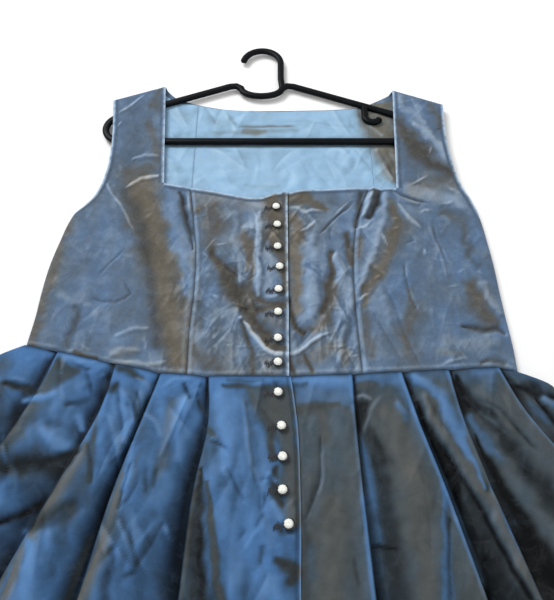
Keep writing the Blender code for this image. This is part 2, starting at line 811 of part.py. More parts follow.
def add_buttons(finish):
    """Round crystal buttons in metal cups, each on a short shank."""
    shank, cup, crown = 0.0016, BUTTON_RADIUS, BUTTON_RADIUS * 0.90
    # Columns: radius, height above the cloth.
    profile = (
        (shank, 0.0000),
        (shank, 0.0008),
        (cup * 0.92, 0.0012),
        (cup, 0.0020),
        (crown, 0.0030),
        (crown * 0.62, BUTTON_HEIGHT),
    )
    trees = []
    for name in ("front_centre_left", "skirt_front_left"):
        mesh = bpy.data.objects[name].data
        trees.append(BVHTree.FromPolygons([v.co for v in mesh.vertices], [p.vertices for p in mesh.polygons]))
    for number, (x, up) in enumerate(BUTTONS, 1):
        y = up + WAIST_Y
        foot = surface_top(trees[0 if up > 0 else 1], x, y, shank) + SEAM
        vertices = []
        for radius, height in profile:
            for k in range(BUTTON_SIDES):
                angle = 2 * math.pi * k / BUTTON_SIDES
                vertices.append((x + radius * math.cos(angle), y + radius * math.sin(angle), foot + height))
        faces = [list(reversed(range(BUTTON_SIDES)))]
        for ring in range(len(profile) - 1):
            for k in range(BUTTON_SIDES):
                n = (k + 1) % BUTTON_SIDES
                a, b = ring * BUTTON_SIDES, (ring + 1) * BUTTON_SIDES
                faces.append([a + k, a + n, b + n, b + k])
        faces.append([(len(profile) - 1) * BUTTON_SIDES + k for k in range(BUTTON_SIDES)])
        add_object(f"button_{number:02d}", vertices, faces, finish, is_smooth=False)


def main():
    for old in list(bpy.data.objects):
        bpy.data.objects.remove(old)
    velvet = material("velvet", (0.20, 0.25, 0.33), 0.85)
    taffeta = material("taffeta", (0.08, 0.16, 0.28), 0.45)
    lining = material("lining", (0.42, 0.60, 0.76), 0.60)
    plastic = material("black_plastic", (0.02, 0.02, 0.025), 0.35)
    crystal = material("crystal", (0.85, 0.85, 0.82), 0.15)
    add_back(velvet)
    add_lining(lining)
    add_hanger(plastic)
    add_front_centres(velvet)
    add_front_sides(velvet)
    add_skirt(taffeta)
    add_buttons(crystal)


main()
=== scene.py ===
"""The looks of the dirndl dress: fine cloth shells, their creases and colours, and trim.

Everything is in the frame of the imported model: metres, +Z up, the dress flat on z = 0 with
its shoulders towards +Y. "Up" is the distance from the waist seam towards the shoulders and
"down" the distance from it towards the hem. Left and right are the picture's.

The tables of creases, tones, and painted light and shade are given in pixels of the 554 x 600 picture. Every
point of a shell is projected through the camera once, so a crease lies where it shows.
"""

import math

import bpy
import numpy as np
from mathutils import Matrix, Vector
from mathutils.bvhtree import BVHTree


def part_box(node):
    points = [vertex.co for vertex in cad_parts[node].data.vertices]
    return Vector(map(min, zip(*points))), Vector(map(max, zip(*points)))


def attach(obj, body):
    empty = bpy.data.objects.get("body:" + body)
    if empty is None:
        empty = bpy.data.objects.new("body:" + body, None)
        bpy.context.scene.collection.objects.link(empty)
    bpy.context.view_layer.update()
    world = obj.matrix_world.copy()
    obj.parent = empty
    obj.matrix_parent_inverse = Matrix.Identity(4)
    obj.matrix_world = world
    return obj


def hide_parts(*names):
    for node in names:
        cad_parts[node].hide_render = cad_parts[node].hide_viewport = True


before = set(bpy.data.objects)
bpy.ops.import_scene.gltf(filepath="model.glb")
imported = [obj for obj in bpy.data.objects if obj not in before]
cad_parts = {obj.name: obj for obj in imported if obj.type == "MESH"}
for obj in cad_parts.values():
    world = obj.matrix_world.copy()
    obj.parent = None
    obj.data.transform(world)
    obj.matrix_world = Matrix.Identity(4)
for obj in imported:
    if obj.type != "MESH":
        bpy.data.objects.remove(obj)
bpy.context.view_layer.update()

# ------------------------------------------------------------------ sizes of the garment

SKIRT_LENGTH = 0.68
HOOK_TOP_UP = 0.489
WAIST_Y = (SKIRT_LENGTH - HOOK_TOP_UP) / 2
VELVET = 0.0018
TAFFETA = 0.0012
LINING = 0.0010
SEAM = 0.0003
SEAM_RISE = 0.0004
CLOSURE_GAP = 0.0005
ROD_WIDTH = 0.0085
ROD_HEIGHT = 0.0065
BACK_MID = VELVET / 2
LINING_MID = VELVET + SEAM + LINING / 2
HANGER_MID = LINING_MID + LINING / 2 + SEAM + ROD_HEIGHT / 2
STRAP_MID = HANGER_MID + ROD_HEIGHT / 2 + SEAM_RISE + VELVET / 2
FRONT_MID = 0.0088
SIDE_SEAM_Z = 0.0048
SHOULDER_SEAM_Z = 0.0068
SEAM_HALF = 0.00035

# Side seams up to the underarm, armholes above it. Columns: up, left x, right x.
BODICE_EDGES = (
    (0.000, -0.2590, 0.2416), (0.036, -0.2570, 0.2417), (0.070, -0.2538, 0.2400),
    (0.100, -0.2526, 0.2388), (0.134, -0.2496, 0.2380), (0.169, -0.2432, 0.2356),
    (0.196, -0.2370, 0.2331), (0.206, -0.2330, 0.2315), (0.216, -0.2225, 0.2280),
    (0.225, -0.2155, 0.2255), (0.240, -0.2095, 0.2195), (0.270, -0.2032, 0.2125),
    (0.318, -0.2022, 0.2080), (0.345, -0.2042, 0.2085), (0.377, -0.2075, 0.2105),
    (0.412, -0.2110, 0.2130),
)
# The sign of x on each side, and the column of each side in the tables above and below.
SIGN = {"left": -1, "right": 1}
SIDE_COLUMN = {"left": 1, "right": 2}
UNDERARM_UP = 0.200
UNDERARM_FADE = 0.018
# Columns: strap's inner x at the neckline, at the shoulder, shoulder up inside, outside.
STRAPS = {"left": (-0.1335, -0.1445, 0.413, 0.388), "right": (0.1405, 0.1490, 0.406, 0.380)}
# Columns: up, left x, right x.
PRINCESS_SEAMS = (
    (0.000, -0.0900, 0.0860), (0.050, -0.0910, 0.0840), (0.100, -0.0890, 0.0830),
    (0.150, -0.0900, 0.0850), (0.200, -0.0955, 0.0930), (0.245, -0.1020, 0.1090),
)
# Columns: x, up.
NECKLINE = (
    (-0.1335, 0.2500), (-0.1000, 0.2425), (-0.0760, 0.2381), (-0.0525, 0.2321),
    (-0.0337, 0.2283), (-0.0190, 0.2262), (-0.0060, 0.2310), (0.0120, 0.2345),
    (0.0270, 0.2387), (0.0505, 0.2403), (0.1070, 0.2427), (0.1405, 0.2417),
)
BACK_NECK = (
    (-0.1445, 0.413), (-0.1300, 0.399), (-0.1150, 0.3920), (-0.0990, 0.3865),
    (-0.0680, 0.3795), (-0.0200, 0.3767), (0.0300, 0.3774), (0.0810, 0.3795),
    (0.1100, 0.3835), (0.1260, 0.3920), (0.1490, 0.406),
)
BACK_SEAMS = {"left": -0.101, "right": 0.115}
# Columns: x, rise of the waist seam.
WAIST_RISE = (
    (-0.300, 0.0453), (-0.117, 0.0040), (-0.069, 0.0005), (0.012, 0.0005),
    (0.076, 0.0030), (0.2237, 0.0103), (0.2416, 0.0050),
)
LAP_EDGE_X = 0.012
UNDERLAP_X = -0.018
LAP_RISE_FROM = -0.036
BUTTON_COUNT = 13
# Columns: from x, from up, to x, to up, half width, height.
BODICE_FOLDS = (
    (-0.190, 0.215, -0.128, 0.045, 0.026, 0.0050),
    (-0.232, 0.130, -0.215, 0.045, 0.022, 0.0025),
    (-0.062, 0.150, -0.034, 0.060, 0.017, 0.0040),
    (0.040, 0.150, 0.036, 0.075, 0.016, 0.0045),
    (0.125, 0.200, 0.165, 0.070, 0.028, 0.0045),
    (0.205, 0.130, 0.205, 0.050, 0.020, 0.0025),
)
FOLD_FADE = (0.215, 0.245)
STRAP_CLIMB = (0.250, 0.306)
SIDE_CURL = 0.008
SHOULDER_CURL = 0.006

# The skirt: distances of the pleats' folds from x = 0 at each of the stations down.
DOWN_STATIONS = (0.00, 0.05, 0.12, 0.21, 0.68)
FRONT_PLEATS = {
    "left": (
        (0.0690, 0.0672, 0.0770, 0.0825, 0.115), (0.1170, 0.1301, 0.1480, 0.1645, 0.272),
        (0.1635, 0.1710, 0.1960, 0.2303, 0.390), (0.2237, 0.2363, 0.2640, 0.3120, 0.500),
    ),
    "right": (
        (0.0760, 0.0766, 0.0789, 0.0828, 0.116), (0.1256, 0.1360, 0.1530, 0.1728, 0.266),
        (0.1732, 0.1790, 0.1930, 0.2150, 0.380), (0.2237, 0.2403, 0.2770, 0.3230, 0.505),
    ),
}
BACK_PLEATS = (
    (0.072, 0.074, 0.080, 0.090, 0.125), (0.120, 0.133, 0.153, 0.176, 0.285),
    (0.168, 0.182, 0.208, 0.242, 0.400), (0.2237, 0.250, 0.286, 0.328, 0.508),
)
LAP_LINE = (0.0135, 0.0194, 0.0212, 0.0200, 0.024)
UNDERLAP_LINE = (-0.018, -0.014, -0.012, -0.014, -0.010)
PLEAT_DEPTH = (0.0360, 0.0340, 0.0300, 0.0250, 0.0120)
# Columns: down, half width on the left, on the right.
SIDE_LINE = (
    (0.000, 0.2590, 0.2416), (0.006, 0.2710, 0.2560), (0.013, 0.2830, 0.2690),
    (0.030, 0.2985, 0.2800), (0.060, 0.3150, 0.3000), (0.120, 0.3480, 0.3420),
    (0.210, 0.4000, 0.3980), (0.450, 0.5150, 0.5150), (0.680, 0.6000, 0.6000),
)
FRONT_LOW = (0.0066, 0.0066, 0.0066, 0.0066, 0.0060)
FRONT_UNDER = (0.0088, 0.0096, 0.0110, 0.0120, 0.0100)
FRONT_TOP = (0.0112, 0.0150, 0.0205, 0.0260, 0.0200)
FRONT_CENTRE = (0.0110, 0.0125, 0.0150, 0.0170, 0.0150)
BACK_OUTER = TAFFETA / 2
BACK_UNDER = 0.0025
BACK_INNER = 0.0044
SIDE_MID = (0.0072, 0.0080, 0.0095, 0.0105, 0.0090)
HEM_LIFT = 0.10
# How far the shade reaches beyond each fold, at the stations down.
SHADE_WIDTHS = {
    "left": (
        (0.0015, 0.0025, 0.0120, 0.0190, 0.02), (0.0015, 0.0030, 0.0100, 0.0180, 0.02),
        (0.0060, 0.0110, 0.0160, 0.0220, 0.02), (0.0030, 0.0120, 0.0140, 0.0200, 0.02),
    ),
    "right": (
        (0.0030, 0.0050, 0.0008, 0.0008, 0.01), (0.0040, 0.0080, 0.0160, 0.0240, 0.02),
        (0.0030, 0.0060, 0.0150, 0.0220, 0.02), (0.0030, 0.0080, 0.0120, 0.0200, 0.02),
    ),
}
FOLD_LIP = 0.0034
FOLD_TIP = 0.004
FOLD_RIM = 0.0006
PLEAT_BEND = 0.0025
PLEAT_CLEAR = 0.002
LEAST_PANEL = 0.006
HALF_WAIST = 0.245
CURL_ANGLES = (0, 30, 60, 90)
SKIRT_CURL = (0.008, 0.012, 0.016, 0.018, 0.018)

# The hanger, about its own middle.
HANGER_X = -0.020
HANGER_HALF_WIDTH = 0.1938
BAR_UP = 0.3195
ARM_END_UP = 0.3620
DIP_HALF_WIDTH = 0.031
DIP_TOP_UP = 0.4180
DIP_BOTTOM_UP = 0.3985
HOOK_RADIUS = 0.0250
HOOK_CENTRE_UP = HOOK_TOP_UP - HOOK_RADIUS - ROD_WIDTH / 2
HOOK_TIP_ANGLE = 168
SCARF_HOOK_X = 0.1313
SCARF_HOOK_DROP = 0.0313
SCARF_HOOK_RADIUS = 0.0095

# The buttons. Columns of the cup: share of the button's radius, height over the cloth.
CUP_PROFILE = (
    (0.30, 0.0), (0.30, 0.0008), (0.86, 0.0011), (0.98, 0.0017),
    (1.00, 0.0024), (0.97, 0.0030), (0.88, 0.0031), (0.86, 0.0024),
)
# Columns: radius, height.
CLAW_PROFILE = ((0.0008, 0), (0.0009, 0.0007), (0.0005, 0.0012))
CLAW_TURNS = (0, 2.2, 4.1)
CLAW_SHARE = 0.88
SEAT_HEIGHT = 0.0024
# Columns: share of the stone's radius, share of its height.
STONE_ROWS = ((1.0, 0.0), (0.98, 0.30), (0.72, 0.78), (0.48, 1.0))
STONE_SHARE = 0.81
STONE_HEIGHT = 0.0022
# The buttonholes' stitches.
THREAD_COUNT = 11
THREAD_STEP = 0.00080
THREAD_WIDTH, THREAD_HEIGHT = 0.00085, 0.0006
THREAD_LIFT = 0.00035
BUTTON_LIFT = 0.0002

# ------------------------------------------------------------------ the picture's camera

PICTURE_WIDTH, PICTURE_HEIGHT = 554, 600
LENS = 42.0
SENSOR = 36.0
FOCAL_PIXELS = LENS / SENSOR * PICTURE_HEIGHT
CAMERA_TILT = math.radians(31)
CAMERA_DISTANCE = 0.743
AIM_UP, AIM_HEIGHT = 0.089, 0.010
CAMERA_BACK = np.array((0, -math.sin(CAMERA_TILT), math.cos(CAMERA_TILT)))
CAMERA_UPWARD = np.array((0, math.cos(CAMERA_TILT), math.sin(CAMERA_TILT)))
CAMERA_PLACE = np.array((0.0, WAIST_Y + AIM_UP, AIM_HEIGHT)) + CAMERA_BACK * CAMERA_DISTANCE


def linked(name, data):
    """A new object of the scene that shows the data."""
    made = bpy.data.objects.new(name, data)
    bpy.context.scene.collection.objects.link(made)
    return made


def add_camera():
    data = bpy.data.cameras.new("camera")
    data.lens = LENS
    data.sensor_width = SENSOR
    camera = linked("camera", data)
    camera.location = CAMERA_PLACE
    camera.rotation_euler = (CAMERA_TILT, 0, 0)
    bpy.context.scene.camera = camera


def in_picture(points):
    """Where points of the frame show in the picture, in pixels."""
    seen = points - CAMERA_PLACE
    depth = -(seen @ CAMERA_BACK)
    px = PICTURE_WIDTH / 2 + FOCAL_PIXELS * seen[..., 0] / depth
    py = PICTURE_HEIGHT / 2 - FOCAL_PIXELS * (seen @ CAMERA_UPWARD) / depth
    return px, py


# ------------------------------------------------------------------ strokes on the cloth

# A stroke is a tapering line on the cloth. Columns of its row: the height that it raises the cloth by in
# millimetres, its tone from -1 for blue to 1 for brown, its light from -1 for black, painted shade, to 1 for
# a bright crushed line, a painted highlight that on the velvet is partly the pile's own paleness, and its
# points. Columns of a point: px, py and half width, in pixels. A last 1 keeps only what lies left of the
# line, and a last -1 only what lies right of it, for a line that runs down the picture.
# Their dark strokes are mostly painted shade in folds, creases and seams, their light ones crushed lines and
# painted highlights.
BODICE_STROKES = (
    # The left side panel: the brown band below the strap and the blue strip beside it.
    (0, 0.95, 0, ((141, 192, 22), (148, 215, 21), (158, 245, 20), (166, 285, 19), (171, 325, 19),
        (177, 362, 14))),
    (0, 0.3, -0.30, ((122, 192, 5), (134, 208, 7), (143, 232, 7), (147, 262, 5), (152, 300, 6),
        (157, 345, 5))),
    (0, -0.9, 0.05, ((168, 192, 7), (172, 220, 8), (179, 245, 8), (186, 268, 6), (189, 295, 3))),
    (0, 0.75, 0, ((68, 224, 7), (55, 260, 8), (46, 290, 7), (38, 320, 5), (32, 345, 4))),
    (0.9, 0, 0.5, ((103, 178, 0.9), (113, 195, 1.1), (121, 206, 1.1), (128, 219, 1.1), (135, 233, 0.8))),
    (-0.5, 0.1, -0.2, ((94, 299, 1.4), (103, 302, 2.2), (115, 303, 2.0), (125, 299, 1.6), (131, 294, 1.2))),
    (-0.8, 0, -0.5, ((125, 282, 0.8), (129, 290, 1.2), (133, 297, 0.9))),
    (-1.2, 0.3, -0.22, ((78, 306, 4), (78, 322, 5), (72, 335, 5), (68, 347, 4))),
    (0, 0.8, -0.4, ((74, 352, 1.8), (84, 356, 2.2), (96, 357, 1.6))),
    (-0.6, 0, -0.2, ((98, 276, 1.0), (110, 264, 1.2), (126, 249, 0.9))),
    (0.8, 0.35, 0.12, ((112, 354, 3), (122, 351, 4), (136, 353, 3))),
    (0.7, 0.4, 0.14, ((112, 364, 2), (136, 365, 3), (165, 364, 2))),
    (0.6, 0, 0.09, ((118, 336, 2), (132, 331, 2.6), (147, 329, 2))),
    (0.6, 0, 0.22, ((144, 335, 1.2), (146, 345, 1.4), (144, 353, 1.2))),
    (0.5, 0.1, 0.10, ((62, 298, 4), (78, 303, 4), (96, 312, 4))),
    (0.4, 0.2, 0.20, ((80, 344, 1.4), (88, 350, 1.6), (95, 352, 1.4))),
    (0, 0, 0.16, ((47, 298, 1.5), (52, 292, 1.5), (57, 289, 1.2))),
    (0, 0, 0.2, ((52, 283, 1.2), (58, 275, 1.2))),
    (-1.2, 0.3, -0.85, ((180, 194, 1.6), (184, 205, 3.4), (187, 218, 4.2), (190, 234, 3.0),
        (192, 250, 0.8))),
    (0.8, 0, 0.5, ((189, 188, 0.9), (189, 200, 1.1), (191, 215, 1.0))),
    (0.6, 0, 0.4, ((193, 236, 0.9), (196, 262, 1.2), (193, 300, 1.1), (189, 330, 1.0), (187, 368, 0.9))),
    # The left centre panel.
    (0, 0.2, 0.30, ((198, 194, 5), (226, 201, 5), (256, 205, 5), (282, 203, 4))),
    (0, 0.35, -0.02, ((212, 212, 18), (234, 230, 19), (244, 262, 12))),
    (0, 0.35, 0, ((204, 350, 12), (240, 366, 12), (276, 360, 12))),
    (0, 0.3, 0.06, ((200, 198, 9), (228, 203, 9), (250, 207, 6))),
    (0, 0.7, -0.10, ((196, 211, 3), (203, 207, 3))),
    (0, 0.65, -0.06, ((213, 208, 9), (214, 226, 11), (212, 244, 7))),
    (-1.6, 0.9, -0.45, ((212, 250, 4), (219, 263, 7), (229, 280, 9), (240, 298, 8), (250, 313, 7),
        (260, 328, 6), (268, 344, 4))),
    (-1.0, 0.8, -0.3, ((248, 290, 6), (262, 302, 5), (276, 304, 4), (289, 303, 3))),
    (0.6, 0.8, -0.05, ((245, 237, 5), (248, 252, 4.5), (246, 272, 2))),
    (0, 0.7, -0.10, ((252, 241, 3), (253, 262, 3.5), (251, 285, 3.5), (249, 300, 4))),
    (1.2, -0.6, 0.20, ((260, 215, 2.5), (260, 240, 3), (259, 270, 3), (259, 296, 2.5))),
    (0.5, -0.5, 0.06, ((237, 215, 3), (235, 240, 4), (238, 265, 4), (242, 285, 2))),
    (0.8, -0.5, 0.55, ((252, 210, 0.8), (257, 219, 1.1), (258, 233, 1.2), (256, 250, 0.8))),
    (0, 0, 0.2, ((255, 250, 1.2), (254, 270, 1.3), (254, 290, 1.0))),
    (0, 0, 0.24, ((243, 228, 3), (250, 226, 4))),
    (0, 1.0, -0.10, ((274, 199, 12), (275, 214, 12), (276, 236, 11), (280, 252, 8))),
    (0, 0.9, -0.05, ((284, 262, 5), (284, 290, 5))),
    (0, -0.4, 0.16, ((268, 256, 4), (272, 259, 4), (268, 274, 4), (268, 288, 4))),
    (0.8, 0, 0.35, ((262, 298, 1.2), (276, 296, 1.6), (288, 290, 1.4))),
    (-0.8, 0.9, -0.30, ((250, 308, 3), (262, 310, 2.5), (276, 307, 2.5), (289, 306, 2))),
    (0, 0.5, 0, ((266, 318, 7), (276, 324, 8), (284, 324, 6))),
    (0, 0.9, -0.3, ((264, 338, 4), (272, 346, 5), (284, 349, 4))),
    (1.8, 0.1, 0.65, ((240, 319, 1.0), (249, 328, 1.8), (257, 339, 2.0), (265, 349, 2.2),
        (276, 355, 2.0), (289, 357, 1.6))),
    (-0.8, 0.7, -0.4, ((242, 322, 1.6), (247, 334, 2.5), (250, 346, 3), (253, 358, 3), (254, 372, 3))),
    (0, 0.5, 0, ((260, 360, 8), (275, 367, 8), (286, 366, 4))),
    (0, 0.6, -0.08, ((195, 345, 4), (200, 360, 7), (215, 368, 8))),
    (0, 0.4, 0, ((220, 368, 6), (240, 372, 4), (285, 374, 3))),
    (-1.0, -0.3, -0.14, ((201, 300, 5), (205, 314, 6), (204, 328, 4))),
    (0, 0, 0.45, ((204, 254, 1.4), (206, 256, 1.2))),
    (0, 0, 0.5, ((213, 295, 1.0), (217, 297, 1.0))),
    (0, 0, 0.4, ((222, 318, 1.0), (224, 316, 1.0))),
    (0, 0, 0.5, ((228, 345, 1.2), (229, 345, 1.2))),
    (0.3, 0, 0.2, ((223, 222, 0.9), (229, 217, 0.9), (236, 211, 0.8))),
    (0.3, 0, 0.35, ((216, 245, 0.9), (228, 244, 0.9))),
    (0.3, 0, 0.25, ((204, 252, 0.9), (212, 243, 0.9), (218, 238, 0.8))),
    (0, 0, 0.2, ((206, 279, 1.0), (210, 272, 1.0))),
    # The right centre panel.
    (0, 0.95, -0.12, ((291, 198, 5), (304, 199, 7), (317, 204, 6), (325, 208, 3))),
    (1.2, 0.1, 0.75, ((288, 208, 1.4), (298, 209, 1.8), (306, 214, 1.6), (313, 211, 1.4), (323, 212, 1.0))),
    (1.0, 0.1, 0.6, ((298, 233, 1.0), (308, 229, 1.2), (314, 223, 1.2), (318, 220, 1.0))),
    (0, 0.95, 0.0, ((293, 218, 6), (297, 228, 8), (294, 250, 7), (297, 270, 6), (296, 292, 6),
        (297, 312, 5))),
    (-1.0, 0, -0.6, ((353, 203, 1.0), (346, 210, 1.2), (336, 217, 1.3), (326, 228, 1.2), (318, 235, 0.9))),
    (0.8, 0, 0.3, ((351, 201, 0.8), (344, 207, 1.0), (332, 219, 1.0))),
    (1.0, -0.7, 0.14, ((311, 240, 5), (313, 265, 8), (314, 290, 9), (312, 308, 8), (311, 322, 5))),
    (-1.6, 0.9, -0.35, ((331, 254, 2), (332, 272, 4), (329, 293, 5), (323, 312, 4))),
    (0, 0.8, 0, ((334, 285, 5), (331, 305, 6), (324, 324, 6), (312, 332, 4))),
    (-1.2, 1.0, -0.55, ((290, 300, 1.6), (292, 314, 3), (297, 327, 3.5), (303, 333, 3))),
    (0.8, -0.6, 0.10, ((335, 256, 3), (342, 273, 4), (347, 290, 5), (351, 304, 3), (345, 320, 4),
        (342, 340, 4), (340, 362, 2.5))),
    (0, 0.8, -0.4, ((347, 234, 3), (349, 250, 4.5), (351, 264, 3))),
    (-0.6, 0, -0.25, ((356, 304, 2), (353, 318, 3), (350, 332, 3), (345, 348, 2.5))),
    (1.6, 0.1, 0.6, ((289, 357, 1.6), (299, 353, 1.8), (310, 344, 1.6), (320, 338, 1.3), (331, 333, 1.0))),
    (0, 0.6, 0, ((300, 362, 5), (318, 356, 9), (335, 345, 6), (346, 362, 5))),
    (-0.5, 0.9, -0.35, ((304, 356, 1.2), (309, 364, 2), (313, 373, 2))),
    (0, -0.4, 0, ((291, 332, 3), (294, 343, 5), (301, 348, 3))),
    (0, 0.9, -0.5, ((290, 362, 2), (292, 370, 3), (294, 374, 2))),
    (0, 0.3, -0.06, ((334, 203, 4), (345, 205, 5))),
    (-0.6, 0.2, -0.3, ((331, 226, 2.0), (330, 235, 1.8), (332, 243, 1.0))),
    (0, 0, 0.14, ((322, 232, 1.0), (325, 246, 1.0), (321, 262, 1.0))),
    (0, 0, 0.3, ((307, 305, 0.9), (310, 312, 0.9))),
    # The pinched folds at the right princess seam's top.
    (-1.8, 0.5, -0.72, ((363, 193, 3), (361, 208, 4), (356, 226, 2.4))),
    (1.6, 0.1, 0.36, ((373, 190, 1.6), (370, 203, 2.2), (364, 216, 1.6))),
    (-1.8, 0.5, -0.72, ((381, 190, 3), (377, 204, 4), (370, 218, 2.4))),
    (1.2, -0.5, 0.12, ((388, 193, 4), (384, 215, 4.5), (380, 235, 4.5), (374, 255, 4), (366, 275, 3),
        (360, 292, 2))),
    (0.8, 0.2, 0.6, ((357, 229, 1.0), (365, 228, 1.3), (371, 222, 0.9))),
    (0, 0.7, 0, ((361, 240, 4), (359, 255, 4))),
    # The right side panel.
    (0, -0.2, 0.20, ((404, 192, 6), (430, 194, 10), (456, 200, 8))),
    (0, 0.85, 0, ((363, 304, 4), (369, 288, 6), (381, 268, 8), (392, 245, 8), (396, 222, 7), (393, 205, 4))),
    (0.9, 0, 0.65, ((357, 302, 0.9), (363, 297, 1.2), (370, 294, 0.9))),
    (0.9, 0, 0.75, ((381, 233, 0.9), (384, 239, 1.2), (388, 247, 0.8))),
    (0.4, 0, 0.25, ((372, 255, 0.9), (384, 254, 0.9))),
    (0.4, 0, 0.22, ((372, 281, 0.9), (381, 275, 0.9))),
    (0, 0.6, -0.05, ((366, 315, 5), (368, 335, 6), (372, 355, 6))),
    (1.0, 0, 0.5, ((397, 201, 0.9), (404, 212, 1.5), (413, 223, 1.9), (424, 231, 1.3))),
    (-1.2, 0, -0.55, ((384, 188, 1.0), (398, 194, 1.6), (413, 199, 1.6), (430, 204, 0.9))),
    (0.9, -0.2, 0.12, ((390, 192, 1.5), (404, 200, 2.2), (418, 204, 1.5))),
    (0, 0.6, 0, ((414, 188, 8), (426, 184, 9), (446, 182, 7), (455, 186, 5))),
    (0.6, 0.3, 0.55, ((420, 214, 1.2), (425, 211, 1.3), (431, 211, 1.2))),
    (0.6, 0.2, 0.6, ((440, 205, 1.0), (447, 204, 1.2), (454, 202, 0.9))),
    (0.5, 0.2, 0.5, ((448, 188, 1.2), (455, 191, 1.4), (461, 196, 1.2))),
    (-0.8, 0.5, -0.12, ((444, 212, 5), (452, 217, 7), (463, 221, 8), (467, 236, 6), (469, 252, 5))),
    (0.4, 0.1, 0.22, ((428, 224, 1.2), (436, 243, 1.3), (443, 262, 1.2), (448, 283, 0.9))),
    (-0.6, 0.1, -0.22, ((432, 222, 1.0), (438, 242, 1.2), (446, 262, 1.0))),
    (-1.2, 0.2, -0.45, ((404, 260, 0.8), (405, 277, 1.4), (410, 294, 1.5), (415, 305, 1.2),
        (419, 316, 0.8))),
    (0, 0.6, -0.03, ((410, 288, 5), (412, 312, 7), (405, 335, 7), (408, 356, 7))),
    (0, 0, 0.7, ((424, 249, 1.0), (424, 253, 1.3))),
    (-0.9, 0, -0.28, ((382, 283, 1.2), (392, 300, 1.5), (400, 322, 1.5), (409, 344, 1.5), (420, 367, 1.2))),
    (-0.7, 0.2, -0.24, ((376, 318, 1.2), (388, 340, 1.4), (402, 362, 1.3))),
    (0.7, -0.3, 0.05, ((384, 300, 4), (390, 320, 4), (394, 335, 3))),
    (0, 0.75, -0.12, ((472, 284, 7), (476, 302, 13), (484, 316, 10), (494, 322, 5))),
    (-1.4, 0.6, -0.36, ((463, 326, 1.8), (474, 329, 3.4), (485, 331, 3.0), (497, 329, 3.4),
        (506, 335, 1.4))),
    (1.0, -0.3, 0.12, ((484, 286, 4), (489, 298, 5), (499, 312, 3))),
    (0.6, 0.25, 0.10, ((445, 341, 5), (470, 345, 7), (495, 343, 6))),
    (-0.8, 0.5, -0.2, ((482, 363, 1.8), (493, 360, 3), (504, 364, 3))),
    (0.8, 0.3, 0.18, ((441, 366, 1.4), (455, 361, 1.8), (468, 358, 1.4))),
    (0, 0.5, 0, ((440, 352, 3), (460, 354, 4))),
    (0, 0.4, 0, ((408, 225, 6), (404, 240, 5))),
    (-0.5, 0, -0.3, ((409, 235, 1.0), (414, 241, 1.0), (404, 244, 0.9))),
    (0.4, 0.1, 0.3, ((393, 229, 1.0), (399, 228, 1.0))),
    (0.4, 0.1, 0.3, ((393, 219, 1.0), (398, 219, 1.0))),
    (0.4, 0.1, 0.3, ((459, 273, 1.2), (463, 271, 1.2))),
    (0.4, 0.1, 0.25, ((478, 271, 1.2), (482, 273, 1.2))),
    (0.4, 0.1, 0.25, ((446, 288, 0.9), (460, 286, 0.9))),
    (-0.5, 0.2, -0.14, ((470, 256, 2), (478, 266, 3))),
    # The left strap.
    (0, -0.25, -0.14, ((130, 156, 15), (132, 124, 15), (138, 104, 10))),
    (0.8, 0, 0.5, ((116, 115, 1.0), (128, 108, 1.3), (138, 101, 1.3), (146, 95, 0.9))),
    (0.5, 0, 0.4, ((115, 130, 0.9), (123, 121, 0.9))),
    (0, 0.6, -0.12, ((158, 92, 4), (156, 107, 6))),
    (0, 0.6, -0.10, ((148, 122, 4), (152, 130, 5), (155, 142, 5), (156, 158, 3))),
    (0, 0.6, -0.06, ((128, 172, 4), (145, 168, 6), (155, 166, 5))),
    (1.2, 0, 0.9, ((124, 189, 0.9), (134, 184, 1.4), (140, 180, 1.6), (150, 178, 1.6), (166, 175, 1.1))),
    (0.8, 0, 0.12, ((134, 160, 1.5), (145, 156, 2), (157, 158, 2))),
    # The right strap.
    (0, 0.75, -0.36, ((399, 122, 4), (406, 136, 8), (418, 151, 11), (431, 163, 9), (448, 172, 4))),
    (1.0, -0.6, 0.24, ((416, 124, 3), (429, 136, 5), (441, 148, 5), (450, 162, 3))),
    (0.4, -0.7, 0.20, ((397, 98, 3), (402, 112, 4), (416, 112, 5), (424, 122, 3))),
    (0.4, 0, 0.5, ((395, 108, 0.9), (402, 109, 0.9))),
    (0, 0.6, -0.05, ((430, 108, 5), (438, 118, 6), (442, 127, 4))),
    (-0.6, 0.3, -0.35, ((435, 131, 1.4), (444, 128, 1.2))),
    (0.6, 0.2, 0.2, ((432, 146, 1.2), (429, 156, 1.2))),
    (0.8, 0.2, 0.45, ((409, 187, 1.0), (418, 182, 1.2), (428, 176, 1.0))),
)
